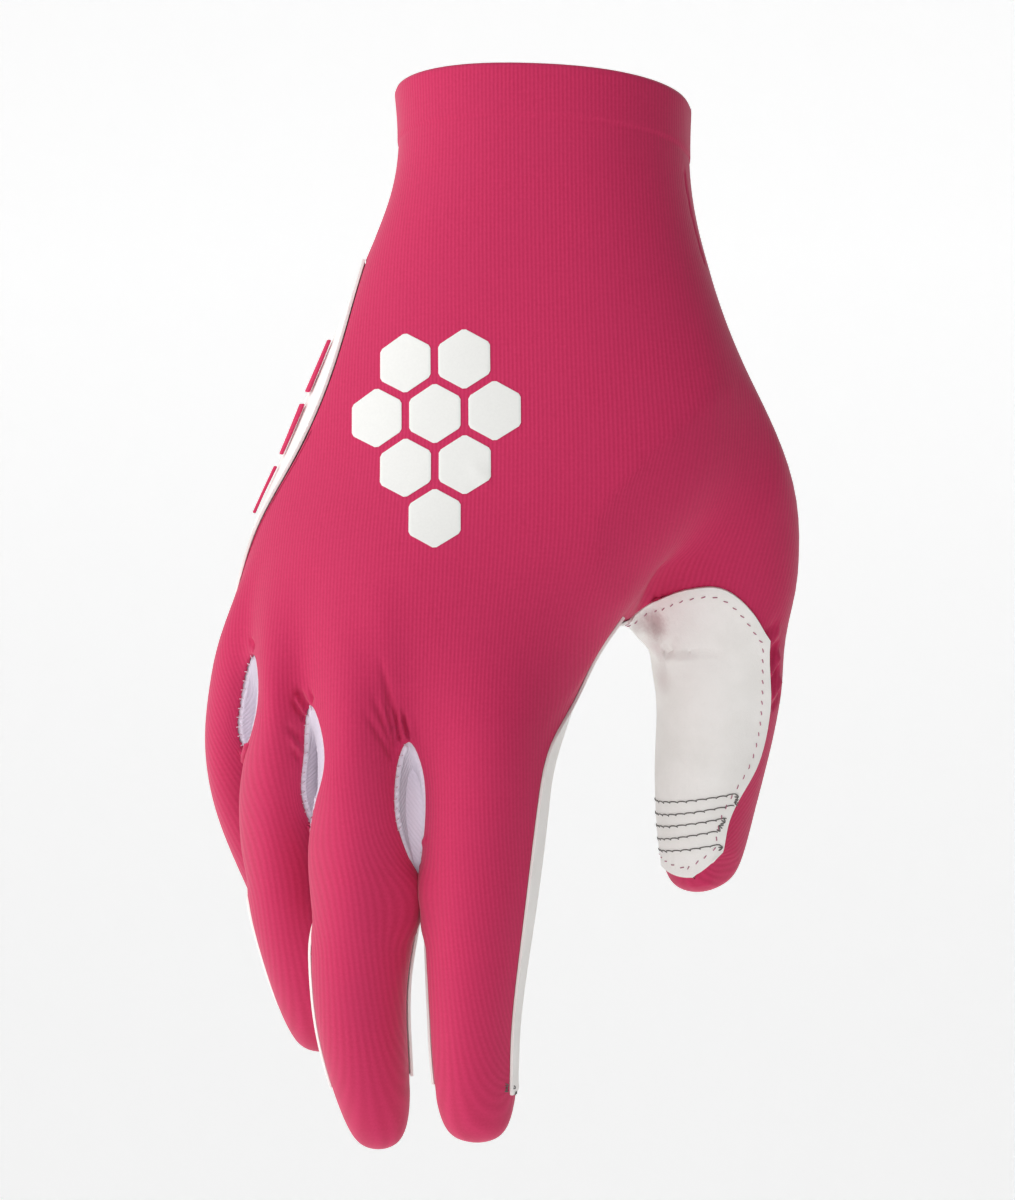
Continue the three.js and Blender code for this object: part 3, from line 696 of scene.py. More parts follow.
def cut_by_plane(bm, place, way, clear_outer=False):
    """Cuts a mesh with a plane, clears what lies ahead of it where asked, and returns the cut."""
    whole = list(bm.verts) + list(bm.edges) + list(bm.faces)
    return bmesh.ops.bisect_plane(
        bm, geom=whole, dist=ON_PLANE, plane_co=place, plane_no=way, clear_outer=clear_outer
    )["geom_cut"]


def smooth(bm, verts, rounds):
    """Draws vertices towards the middle of their neighbours."""
    for _ in range(rounds if verts else 0):
        bmesh.ops.smooth_vert(bm, verts=verts, factor=0.5, use_axis_x=True, use_axis_y=True, use_axis_z=True)


def search_tree(places):
    tree = KDTree(len(places))
    for i, place in enumerate(places):
        tree.insert(place, i)
    tree.balance()
    return tree


def place_of(row, columns="x y z"):
    """A place that a table's row holds in millimetres, in metres."""
    return np.array([getattr(row, column) for column in columns.split()]) * MM


def run_along(edges, line):
    """Follows edges from the end of a line of vertices, takes them out of the edges, and returns the line."""
    while True:
        following = [edge for edge in line[-1].link_edges if edge in edges]
        if not following:
            return line
        del edges[following[0]]
        line.append(following[0].other_vert(line[-1]))


def apply_modifiers(obj):
    """Replaces the object's mesh by what its modifiers make of it."""
    bpy.context.view_layer.update()
    evaluated = obj.evaluated_get(bpy.context.evaluated_depsgraph_get())
    old = obj.data
    mesh = bpy.data.meshes.new_from_object(evaluated)
    obj.modifiers.clear()
    obj.data = mesh
    mesh.name = obj.name
    bpy.data.meshes.remove(old)


def lay_flat(obj):
    """Lays the panel out flat into a UV map named pattern, in metres: V runs down the hand and along each
    finger, as the knit's ribs do, and U across, as near to true length as the cloth allows."""
    mesh = obj.data
    places = np.array([v.co for v in mesh.vertices])
    normals = np.array([v.normal for v in mesh.vertices])
    down = np.array((0.0, 0.02, -1.0))
    down = down - normals * (normals @ down)[:, None]
    down /= np.linalg.norm(down, axis=1)[:, None]
    a, b = np.array([e.vertices[:] for e in mesh.edges]).T
    step = places[b] - places[a]
    weight = 1 / np.linalg.norm(step, axis=1)
    laplacian = np.eye(len(places)) * 1e-6
    np.add.at(laplacian, (a, a), weight)
    np.add.at(laplacian, (b, b), weight)
    np.add.at(laplacian, (a, b), -weight)
    np.add.at(laplacian, (b, a), -weight)
    pulls = np.zeros((len(places), 2))
    for column, way in enumerate((np.cross(normals, down), down)):
        gap = (step * (way[a] + way[b]) / 2).sum(axis=1) * weight
        np.add.at(pulls[:, column], b, gap)
        np.add.at(pulls[:, column], a, -gap)
    flat = np.linalg.solve(laplacian, pulls)
    corners = np.array([loop.vertex_index for loop in mesh.loops])
    mesh.uv_layers.new(name="pattern")
    mesh.uv_layers["pattern"].data.foreach_set("uv", flat[corners].ravel())


def smoothed(obj, levels):
    """Subdivides the panel smooth, keeping its corners."""
    modifier = obj.modifiers.new("smooth", "SUBSURF")
    modifier.levels = levels
    modifier.render_levels = levels
    modifier.boundary_smooth = "PRESERVE_CORNERS"
    modifier.uv_smooth = "PRESERVE_BOUNDARIES"
    apply_modifiers(obj)


def rim_frames(bm):
    """For each vertex on the open edge, the direction along the skin that leads out over the edge."""
    outward = {}
    for edge in bm.edges:
        if not edge.is_boundary:
            continue
        face = edge.link_faces[0]
        a, b = edge.verts
        out = (b.co - a.co).cross(face.normal).normalized()
        if out.dot(face.calc_center_median() - a.co) > 0:
            out = -out
        for vert in (a, b):
            outward[vert] = outward.get(vert, Vector()) + out
    for _ in range(2):
        outward = {
            vert: out + sum((outward[e.other_vert(vert)] for e in vert.link_edges if e.is_boundary), Vector())
            for vert, out in outward.items()
        }
    return {vert: out.normalized() for vert, out in outward.items()}


def boundary_loops(bm):
    """The open edges as closed lists of vertices, each from its place furthest on the palm's side."""
    left = dict.fromkeys(e for e in bm.edges if e.is_boundary)
    loops = []
    while left:
        edge = max(left, key=lambda e: (e.verts[0].co.y + e.verts[1].co.y, e.index))
        del left[edge]
        loop = run_along(left, list(edge.verts))
        loops.append(loop[:-1] if loop[0] is loop[-1] else loop)
    return loops


def finish_wall(obj, wall, edge_round=0.0, outwards=False, sharp=50):
    """Gives a skin its thickness, inwards or outwards, and rounds its rim where its edges are that sharp."""
    solid = obj.modifiers.new("wall", "SOLIDIFY")
    solid.thickness = wall
    solid.offset = 1.0 if outwards else -1.0
    if edge_round:
        bevel = obj.modifiers.new("rim", "BEVEL")
        bevel.width = edge_round
        bevel.segments = 2
        bevel.limit_method = "ANGLE"
        bevel.angle_limit = math.radians(sharp)
    apply_modifiers(obj)


def dress(obj, material, slot, *nodes):
    """Gives a finished piece its material and its place in the frame, and hides the nodes that it stands for.
    """
    obj.data.materials.clear()
    obj.data.materials.append(material_of(material))
    obj.data.polygons.foreach_set("use_smooth", [True] * len(obj.data.polygons))
    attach(obj, "root")
    if nodes:
        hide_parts(*nodes)


def lay_panels():
    """Lays out every panel smooth, and moves the seams to their places along the glove's surface."""
    ground = bmesh.new()
    for name, panel in PANELS.items():
        skin = outer_skin(panel.node, panel.wall)
        obj = object_from(name, skin)
        skin.free()
        lay_flat(obj)
        smoothed(obj, sizes().levels + panel.finer)
        flat_panels[name] = obj
        level = bmesh_of(obj)
        level.normal_update()
        for vert in level.verts:
            vert.co -= vert.normal * panel.proud
        add_to(ground, level)
    tree = BVHTree.FromBMesh(ground)
    ground.free()
    panels = {name: bmesh_of(obj) for name, obj in flat_panels.items()}
    partners = {name: seam_partners(panels, name) for name in LEADERS}
    for name in sorted(panels, key=lambda name: (name in GUSSETS, name in LEADERS)):
        bm = panels[name]
        bm.normal_update()
        before = places_of(bm)
        move_seams(bm, tree, PANELS[name].proud)
        if name in partners:
            hold_edge(bm, before, seam_corrections(partners[name]))
        elif name == "suede_thumb_patch":
            hold_edge(bm, before, corner_corrections(bm, before))
        soften(bm)
        if name in GUSSETS:
            smooth(bm, [v for v in bm.verts if not v.is_boundary], GUSSET_TENSION)
        bm.normal_update()
        skins[name] = bm


def seam_partners(panels, name):
    """For each vertex on a panel's open edge, the two vertices of the edge it is sewn to, the share between
    them, and the way from there to the vertex."""
    beside = []
    for leader in LEADERS[name]:
        for edge in panels[leader].edges:
            if edge.is_boundary:
                a, b = edge.verts
                beside += [(a, b, part / 8, a.co.lerp(b.co, part / 8)) for part in range(9)]
    tree = search_tree([place for _, _, _, place in beside])
    found = {}
    for vert in panels[name].verts:
        if vert.is_boundary:
            place, i, off = tree.find(vert.co)
            if off < SEAM_GAP:
                found[vert] = (*beside[i][:3], vert.co - place)
    return found


def seam_corrections(partners):
    """How far a panel's open edge is from the edges that it is sewn to."""
    return [
        (vert, a.co.lerp(b.co, share) + gap - vert.co) for vert, (a, b, share, gap) in partners.items()
    ]


def corner_corrections(bm, before):
    """How far the patch's open edge is from where the tables of its corners have it."""
    found = []
    for vert in bm.verts:
        if not vert.is_boundary:
            continue
        place = Vector(before[vert.index])
        nearest, target = CORNER_GAP, None
        for a, b in (pair for corner in PATCH_CORNERS for pair in zip(corner, corner[1:])):
            start, end = Vector(a[:3]) * MM, Vector(b[:3]) * MM
            share = min(max(intersect_point_line(place, start, end)[1], 0), 1)
            off = (start.lerp(end, share) - place).length
            if off < nearest:
                nearest, target = off, (Vector(a[3:]) * MM).lerp(Vector(b[3:]) * MM, share)
        if target:
            found.append((vert, target - vert.co))
    return found


def hold_edge(bm, before, corrections):
    """Moves vertices of a panel's open edge as told, and lets the cloth beside them follow."""
    tree = search_tree([before[vert.index] for vert, _ in corrections])
    uneven = []
    for vert in bm.verts:
        _, i, off = tree.find(before[vert.index])
        by = corrections[i][1]
        if vert.is_boundary or by.length < 0.02 * MM:
            continue
        reach = max(3 * MM, 2.5 * by.length)
        if off < reach:
            vert.co += by * float(fall_off(off / reach))
            uneven.append(vert)
    for vert, by in corrections:
        vert.co += by
    smooth(bm, uneven, EDGE_ROUNDS)


def soften(bm):
    """Evens out the soft spots' creases."""
    places = places_of(bm)
    near = np.zeros(len(places), dtype=bool)
    for spot in SOFT_SPOTS:
        near |= np.linalg.norm(places - place_of(spot), axis=1) < spot.reach * MM
    smooth(bm, [v for v, take in zip(bm.verts, near) if take and not v.is_boundary], SPOT_ROUNDS)


def fall_off(share):
    """From 1 at nothing to 0 at one, without a kink at either end."""
    left = 1 - np.clip(share, 0, 1)
    return left * left * (3 - 2 * left)


def places_of(bm):
    return np.array([v.co for v in bm.verts])


def move_seams(bm, ground, proud, steps=12):
    """Slides the cloth along the surface as the table of seam moves says."""
    places = places_of(bm)
    shift = np.zeros_like(places)
    total = np.zeros(len(places))
    for move in SEAM_MOVES:
        start = place_of(move)
        by = place_of(move, "to_x to_y to_z") - start
        weight = fall_off(np.linalg.norm(places - start, axis=1) / (move.reach * MM))
        shift += weight[:, None] * by
        total += weight
    shift /= np.maximum(total, 1)[:, None]
    verts = list(bm.verts)
    for index in np.nonzero(total > 0)[0]:
        vert = verts[index]
        step = Vector(shift[index]) / steps
        normal = vert.normal.copy()
        place = vert.co - normal * proud
        for _ in range(steps):
            near, facing, _, off = ground.find_nearest(place + step)
            if facing.dot(normal) > -0.2 and off < 1.2 * step.length + 0.05 * MM:
                place, normal = near, facing
        vert.co = place + normal * proud
    even_moves(bm, places)


def even_moves(bm, before, rounds=8):
    """Evens out how far neighbours have moved, along the open edge from its own neighbours alone."""
    moved = places_of(bm) - before
    open_edge = np.array([v.is_boundary for v in bm.verts])
    a, b = np.array([(e.verts[0].index, e.verts[1].index) for e in bm.edges]).T
    rim = np.array([e.is_boundary for e in bm.edges])
    to = np.concatenate((a, b))
    source = np.concatenate((b, a))
    counted = (np.concatenate((rim, rim)) | ~open_edge[to]).astype(float)
    total = np.zeros(len(before))
    np.add.at(total, to, counted)
    for _ in range(rounds):
        around = np.zeros_like(before)
        np.add.at(around, to, moved[source] * counted[:, None])
        moved = 0.5 * moved + 0.5 * around / total[:, None]
    for vert, place in zip(bm.verts, before + moved):
        vert.co = place


def mark_seams(parts=4):
    """Marks the gussets' seams with the knit back, so many marks to an edge of a gusset."""
    back = BVHTree.FromBMesh(skins["knit_back"])
    for name in GUSSETS:
        outward = rim_frames(skins[name])
        for loop in boundary_loops(skins[name]):
            run = 0.0
            for i, vert in enumerate(loop):
                other = loop[(i + 1) % len(loop)]
                gap = (other.co - vert.co).length
                for part in range(parts):
                    share = part / parts
                    place = vert.co.lerp(other.co, share)
                    if back.find_nearest(place)[3] < MARK_GAP:
                        out = outward[vert].lerp(outward[other], share).normalized()
                        seam_marks.append(SeamMark(place, out, run + gap * share, out.x < -0.3, name))
                run += gap


def nearest_marks(places, reach):
    """For each place the number of the mark next to it and how far off it is; -1 where none is near."""
    tree = search_tree([mark.place for mark in seam_marks])
    found = [tree.find(place)[1:] for place in places]
    numbers = np.array([i if off < reach else -1 for i, off in found])
    return numbers, np.array([off for _, off in found])


def fold_frame(fold, places, normals):
    """How far along the fold each place lies, the fold's length, and how far off its line the place is, as
    measured on the cloth."""
    start = place_of(fold)
    along = place_of(fold, "to_x to_y to_z") - start
    length = np.linalg.norm(along)
    along /= length
    offset = places - start
    run = offset @ along
    away = offset - np.outer(np.clip(run, 0, length), along)
    over = (away * normals).sum(axis=1)
    beside = np.linalg.norm(away - over[:, None] * normals, axis=1)
    beside[np.abs(over) > 4 * MM] = 1.0
    return run, length, beside


def fold_heights(name, places, normals):
    """How far the folds raise each place of a panel over the smooth cloth."""
    heights = np.zeros(len(places))
    for fold in FOLDS:
        if fold.cloth not in name:
            continue
        run, length, beside = fold_frame(fold, places, normals)
        fade = fall_off(1 - run / (fold.fade_in * MM)) * fall_off(1 - (length - run) / (fold.fade_out * MM))
        heights += fold.height * MM * np.exp(-(beside / (fold.width * MM)) ** 2) * fade
    return heights


def push_shifts(places):
    """How far the hand inside shifts each place of the cloth."""
    shifts = np.zeros_like(places)
    for push in PUSHES:
        off = np.linalg.norm(places - place_of(push), axis=1)
        meant = (places[:, 0] > push.from_x * MM) & (places[:, 0] < push.upto_x * MM)
        weight = fall_off(off / (push.reach * MM)) * meant
        shifts += weight[:, None] * place_of(push, "by_x by_y by_z")
    return shifts


def distances_to(marks, places):
    """How far each place lies from the nearest mark."""
    tree = search_tree(marks)
    return np.array([tree.find(place)[2] for place in places])


def hem_distances(bm, places):
    """How far each place lies from the open edge of the cuff."""
    level = [
        edge for edge in bm.edges if edge.is_boundary and edge.verts[0].co.z > CUFF_FROM
        and abs(edge.verts[0].co.z - edge.verts[1].co.z) < 0.4 * edge.calc_length()
    ]
    points = [edge.verts[0].co.lerp(edge.verts[1].co, share) for edge in level for share in (0, 0.5, 1)]
    return distances_to(points, places) if points else np.ones(len(places))


def hem_heights(distances):
    """The doubled cloth of the hem, and the groove where its edge is sewn down."""
    size = sizes()
    step = fall_off((distances - size.hem + 0.5 * MM) / MM)
    groove = np.exp(-((distances - size.hem) / (0.4 * MM)) ** 2)
    return size.hem_step * step - size.hem_step * 0.8 * groove


def refine(name, bm):
    """Cuts the faces finer where small folds, a seam of a gusset or the hem need it. A gusset is fine enough
    for its seams."""
    near_seam = (0.1 if name in GUSSETS else 2.2) * MM
    faces = list(bm.faces)
    centres = np.array([f.calc_center_median() for f in faces])
    normals = np.array([f.normal for f in faces])
    wanted = nearest_marks(centres, near_seam)[0] >= 0
    for fold in FOLDS:
        if fold.width < 2 and fold.cloth in name:
            run, length, beside = fold_frame(fold, centres, normals)
            within = (run > -MM) & (run < length + MM)
            wanted |= within & (beside < 2.2 * fold.width * MM)
    wanted |= np.abs(hem_distances(bm, centres) - sizes().hem) < 1.3 * MM
    chosen = [face for face, take in zip(faces, wanted) if take]
    edges = list(dict.fromkeys(edge for face in chosen for edge in face.edges))
    bmesh.ops.subdivide_edges(bm, edges=edges, cuts=2, use_grid_fill=True)


def shape_knit_seams(places, normals):
    """Draws the knit back from the gussets between the stitches, and down where a stitch holds it."""
    size = sizes()
    numbers, off = nearest_marks(places, 2.0 * MM)
    for i in np.nonzero(numbers >= 0)[0]:
        mark = seam_marks[numbers[i]]
        if mark.stitched:
            near = math.exp(-(off[i] / (0.8 * MM)) ** 2)
            between = math.sin(math.pi * mark.run / size.stitch) ** 2
            draw = size.puff * 0.7 * between * near
            sink = size.puff * 0.6 * (1 - between) * near
            places[i] += np.array(mark.out) * draw - normals[i] * sink
    return places


def shape_gusset(places, normals):
    """Puffs the gusset up between the stitches of one seam, gives the other a smooth lip that sinks in deeper
    down, and tucks its edge under the knit."""
    size = sizes()
    reach = 2.4 * MM
    numbers, _ = nearest_marks(places, reach)
    for i in np.nonzero(numbers >= 0)[0]:
        mark = seam_marks[numbers[i]]
        inside = (mark.place - Vector(places[i])).dot(mark.out)
        if mark.stitched:
            height = size.puff * (0.25 + 0.75 * math.sin(math.pi * mark.run / size.stitch) ** 2)
        else:
            open_to_back = float(fall_off((mark.place.y - GUSSET_TURN) / (5 * MM)))
            height = size.puff * 0.25 * open_to_back
            places[i] -= normals[i] * 0.6 * MM * (1 - open_to_back) * float(fall_off(inside / reach))
        welt = math.exp(-((inside - 0.45 * MM) / (0.5 * MM)) ** 2)
        tuck = float(fall_off(inside / (0.35 * MM))) * 0.5 * MM
        places[i] += normals[i] * (height * welt - tuck)
    return places


def add_web(bm):
    """Lays the web between middle and index finger as a sheet of its own that ends inside both fingers."""
    made = bmesh.ops.create_grid(bm, x_segments=12, y_segments=40, size=1.0)["verts"]
    upwards = WEB[::-1]
    rises = [row.z for row in upwards]
    flat = bm.loops.layers.uv["pattern"]
    for vert in made:
        across = (vert.co.x + 1) / 2
        z = rises[0] + (rises[-1] - rises[0]) * (vert.co.y + 1) / 2
        left_x, left_y, right_x, right_y = (
            np.interp(z, rises, [getattr(row, column) for row in upwards])
            for column in ("x", "y", "to_x", "to_y")
        )
        x = left_x + (right_x - left_x) * across
        y = left_y + (right_y - left_y) * across + 0.8 * math.sin(math.pi * across)
        vert.co = Vector((x, y, z)) * MM
        for loop in vert.link_loops:
            loop[flat].uv = (x * MM, z * MM)


def let_out_edge(name, bm):
    """Lets a panel's open edge out towards its seam, a gusset's less where it turns down between the fingers,
    and sets a strip off along an edge that is folded in."""
    size = sizes()
    for vert, out in rim_frames(bm).items():
        if name in GUSSETS:
            turned = float(fall_off((vert.co.y - GUSSET_TURN) / (6 * MM)))
            vert.co += out * size.gusset_reach * (0.35 + 0.65 * turned)
        else:
            vert.co += out * (size.seam_reach if PANELS[name].folded else size.lap)
    if PANELS[name].folded:
        bmesh.ops.inset_region(
            bm, faces=bm.faces, thickness=size.edge_ring, use_boundary=True, use_even_offset=False
        )


def edge_heights(name, bm, places):
    """How a panel's edge lies: folded in, tucked under the knit, or curled up where suede was cut."""
    size = sizes()
    off = distances_to([v.co.copy() for v in bm.verts if v.is_boundary], places)
    if PANELS[name].folded:
        return -size.knit_fold * fall_off(off / size.edge_ring) ** 2
    if name in GUSSETS:
        return -0.35 * MM * fall_off(off / (0.7 * MM))
    stands_up = np.where(places[:, 0] < -20 * MM, 1.0, 0.45)
    return size.curl * stands_up * np.exp(-off / (0.9 * MM))


def sewn_panel(name):
    """A panel of the glove as shaped cloth whose edges reach for their seams."""
    if not skins:
        lay_panels()
        mark_seams()
    bm = skins[name].copy()
    let_out_edge(name, bm)
    bm.normal_update()
    refine(name, bm)
    bm.normal_update()
    places = places_of(bm)
    normals = np.array([v.normal for v in bm.verts])
    heights = fold_heights(name, places, normals) + hem_heights(hem_distances(bm, places))
    heights += edge_heights(name, bm, places)
    shifts = push_shifts(places)
    if name in GUSSETS:
        places = shape_gusset(places, normals)
    if name == "knit_back":
        places = shape_knit_seams(places, normals)
    places += normals * heights[:, None] + shifts
    for vert, place in zip(bm.verts, places):
        vert.co = place
    if name == "stretch_gusset_middle_index":
        cut_by_plane(bm, Vector((0, 0, WEB_TAKES_OVER)), Vector((0, 0, -1)), clear_outer=True)
        add_web(bm)
    bm.normal_update()
    surfaces[name] = BVHTree.FromBMesh(bm)
    obj = flat_panels[name]
    put_back(obj, bm)
    return obj


# Threads and print

def stitch(start, end, up, height):
    """The points of one stitch that dives into the cloth at both ends."""
    steps = ((0.0, -0.9), (0.12, 0.4), (0.35, 1.0), (0.65, 1.0), (0.88, 0.4), (1.0, -0.9))
    return [start.lerp(end, share) + up * height * rise for share, rise in steps]


def sewn_threads(name, strands, thickness, material, slot):
    """Threads laid along their points, as one mesh."""
    curve = bpy.data.curves.new(name, "CURVE")
    curve.dimensions = "3D"
    curve.bevel_depth = thickness / 2
    curve.bevel_resolution = 1
    curve.use_fill_caps = True
    for points in strands:
        spline = curve.splines.new("POLY")
        spline.points.add(len(points) - 1)
        for made, place in zip(spline.points, points):
            made.co = (*place, 1)
    cord = new_object(name + "_line", curve)
    bpy.context.view_layer.update()
    mesh = bpy.data.meshes.new_from_object(cord.evaluated_get(bpy.context.evaluated_depsgraph_get()))
    mesh.name = name
    bpy.data.objects.remove(cord)
    bpy.data.curves.remove(curve)
    dress(new_object(name, mesh), material, slot)


def evenly(points, pitch):
    """Places a pitch apart along a line of points, each with the line's direction there."""
    out = []
    ahead = pitch / 2
    for a, b in zip(points, points[1:]):
        gap = (b - a).length
        while gap and ahead <= gap:
            out.append((a.lerp(b, ahead / gap), (b - a).normalized()))
            ahead += pitch
        ahead -= gap
    return out


def cut_line(name, place, way):
    """The longest line in which a plane cuts a skin."""
    bm = skins[name].copy()
    edges = dict.fromkeys(e for e in cut_by_plane(bm, place, way) if isinstance(e, bmesh.types.BMEdge))
    lines = []
    while edges:
        ends = [v for e in edges for v in e.verts if sum(1 for o in v.link_edges if o in edges) == 1]
        line = run_along(edges, [ends[0] if ends else next(iter(edges)).verts[0]])
        lines.append([v.co.copy() for v in line])
    bm.free()
    return max(lines, key=lambda line: sum((b - a).length for a, b in zip(line, line[1:])))


def grip_row(name, line, lean, number):
    """A row of linked stitches along a line, each leaning across it, so that the row looks wavy."""
    size = sizes()
    half = size.grip_stitch * 0.55
    strands = []
    for i, (place, along) in enumerate(evenly(line, size.grip_stitch)):
        near, up, _, _ = surfaces[name].find_nearest(place)
        across = up.cross(along).normalized()
        swing = math.sin(1.7 * i + 2.3 * number) * 0.08 * MM
        start = near - along * half + across * (lean + swing)
        end = near + along * half - across * (lean - swing)
        bow = -across * (0.3 * MM + swing)
        points = stitch(start, end, up, size.thread * 0.3)
        strands.append([point + bow * math.sin(math.pi * n / 5) for n, point in enumerate(points)])
    return strands


def tack(name, start, end):
    """Close stitches across the line between two places of a panel."""
    made = []
    for i, (place, along) in enumerate(evenly([start, end], 0.42 * MM)):
        near, up, _, _ = surfaces[name].find_nearest(place)
        across = up.cross(along).normalized() * (0.42 + 0.12 * math.sin(2.1 * i)) * MM
        lean = along * 0.3 * MM * math.cos(1.3 * i)
        made.append(stitch(near - across - lean, near + across + lean, up, sizes().thread * 0.5))
    return made


# Stage

# The camera's turn round the glove and its rise, how far off it is, and what it looks at
VIEW_TURN = math.radians(6)
VIEW_RISE = math.radians(-8)
VIEW_DISTANCE = 1.1
AIM = Vector((-8.5, 13.2, -99.6)) * MM
LENS = 165.0
SENSOR = 36.0
FLOOR = -0.38

# The lights, which look at the same place: where they are, in metres, and their power
LIGHT_SIZE = 0.9
SOFT_LIGHTS = rows(
    "name x y z power",
    ("key_left", -0.8, -0.8, 0.7, 10.5),
    ("side_left", -1.3, -0.2, -0.1, 7),
    ("front_top", 0.0, -0.9, 0.9, 2.5),
    ("fill_right", 1.3, -0.2, -0.1, 0.35),
)

# How bright the world is behind the glove, and how bright as a light on it
SKY_SEEN = 0.95
SKY_LIGHT = 0.09


def view_camera():
    back = Vector((
        math.sin(VIEW_TURN) * math.cos(VIEW_RISE),
        -math.cos(VIEW_TURN) * math.cos(VIEW_RISE),
        math.sin(VIEW_RISE),
    ))
    data = bpy.data.cameras.new("photo_camera")
    data.lens = LENS
    data.sensor_width = SENSOR
    data.clip_start = 0.05
    data.clip_end = 20
    camera = new_object("photo_camera", data)
    camera.location = AIM + back * VIEW_DISTANCE
    camera.rotation_mode = "QUATERNION"
    camera.rotation_quaternion = (-back).to_track_quat("-Z", "Y")
    bpy.context.scene.camera = camera


def soft_light(row):
    data = bpy.data.lights.new(row.name, "AREA")
    data.shape = "SQUARE"
    data.size = LIGHT_SIZE
    data.energy = row.power
    light = new_object(row.name, data)
    light.location = (row.x, row.y, row.z)
    light.rotation_mode = "QUATERNION"
    light.rotation_quaternion = (AIM - light.location).to_track_quat("-Z", "Y")


def pale_sky(world):
    """Makes the world paler to the camera than it is as a light."""
    world.use_nodes = True
    nodes = world.node_tree.nodes
    seen = nodes.new("ShaderNodeMath")
    seen.operation = "MULTIPLY_ADD"
    ray = nodes.new("ShaderNodeLightPath").outputs["Is Camera Ray"]
    for socket, value in zip(seen.inputs, (ray, SKY_SEEN - SKY_LIGHT, SKY_LIGHT)):
        give(socket, value)
    give(nodes["Background"].inputs["Color"], (1, 1, 1, 1))
    give(nodes["Background"].inputs["Strength"], seen.outputs[0])


def studio_material():
    material, _, surface = shader_nodes("studio_white", 0.9, specular=0.1)
    surface("Base Color", tuple(colours().studio))
    surface("Emission Color", (1, 1, 1, 1))
    surface("Emission Strength", 0.5)
    return material


def studio_sweep():
    """A floor that curves up into the backdrop, drawn as a profile and extruded across."""
    half, behind, front, radius, top = 4.0, 2.2, -3.0, 0.8, 3.2
    sweep = bmesh.new()
    profile = [(front, FLOOR), (behind - radius, FLOOR)]
    for step in range(1, 12):
        turn = math.pi / 2 * step / 12
        profile.append((behind - radius + radius * math.sin(turn), FLOOR + radius - radius * math.cos(turn)))
    profile += [(behind, FLOOR + radius), (behind, top)]
    verts = [sweep.verts.new((-half, y, z)) for y, z in profile]
    edges = [sweep.edges.new(pair) for pair in zip(verts, verts[1:])]
    out = bmesh.ops.extrude_edge_only(sweep, edges=edges)
    moved = [v for v in out["geom"] if isinstance(v, bmesh.types.BMVert)]
    bmesh.ops.translate(sweep, verts=moved, vec=(2 * half, 0, 0))
    bmesh.ops.recalc_face_normals(sweep, faces=sweep.faces)
    if sweep.faces[0].normal.z < 0:
        bmesh.ops.reverse_faces(sweep, faces=sweep.faces)
    obj = object_from("studio_sweep", sweep)
    sweep.free()
    obj.data.materials.append(studio_material())
    obj.data.polygons.foreach_set("use_smooth", [True] * len(obj.data.polygons))


class GLOVE_OT_stage(bpy.types.Operator):
    """Adds the camera, the soft lights and the pale floor with its backdrop"""
    bl_idname = "glove.stage"
    bl_label = "Studio"

    def execute(self, context):
        view_camera()
        studio_sweep()
        for row in SOFT_LIGHTS:
            soft_light(row)
        context.scene.world = bpy.data.worlds.new("studio")
        pale_sky(context.scene.world)
        context.scene.view_settings.view_transform = "Standard"
        return {"FINISHED"}


class GLOVE_OT_gussets(bpy.types.Operator):
    """Makes the three stretch gussets between the fingers"""
    bl_idname = "glove.gussets"
    bl_label = "Gussets"

    def execute(self, context):
        for name in GUSSETS:
            obj = sewn_panel(name)
            finish_wall(obj, KNIT_CLOTH)
            dress(obj, "gusset_knit", "white_stretch_knit", PANELS[name].node)
        return {"FINISHED"}


class GLOVE_OT_back(bpy.types.Operator):
    """Makes the knit back with its cuff and the knit underside of the cuff"""
    bl_idname = "glove.back"
    bl_label = "Knit back"

    def execute(self, context):
        for name in ("knit_back", "knit_cuff_underside"):
            obj = sewn_panel(name)
            finish_wall(obj, KNIT_CLOTH)
            dress(obj, "magenta_ribbed_knit", "magenta_knit", PANELS[name].node)
        return {"FINISHED"}


class GLOVE_OT_suede(bpy.types.Operator):
    """Makes the suede palm and the suede patch of the thumb"""
    bl_idname = "glove.suede"
    bl_label = "Suede palm and patch"

    def execute(self, context):
        for name in ("suede_palm", "suede_thumb_patch"):
            obj = sewn_panel(name)
            finish_wall(obj, SUEDE_CLOTH, SUEDE_EDGE)
            dress(obj, "napped_suede", "white_suede", PANELS[name].node)
        return {"FINISHED"}


class GLOVE_OT_pads(bpy.types.Operator):
    """Makes the raised rubber pads on the edge of the palm"""
    bl_idname = "glove.pads"
    bl_label = "Edge pads"

    def execute(self, context):
        for number in (1, 2, 3):
            node = "edge_pad_" + str(number)
            pad = bmesh.new()
            pad.from_mesh(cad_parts[node].data)
            bmesh.ops.remove_doubles(pad, verts=pad.verts, dist=MERGE)
            join_flat(pad)
            bmesh.ops.bevel(
                pad, geom=list(pad.edges), offset=PAD_ROUND, segments=3, profile=0.5, affect="EDGES",
                material=-1,
            )
            obj = object_from("rubber_" + node, pad)
            pad.free()
            dress(obj, "pad_rubber", "magenta_rubber", node)
        return {"FINISHED"}


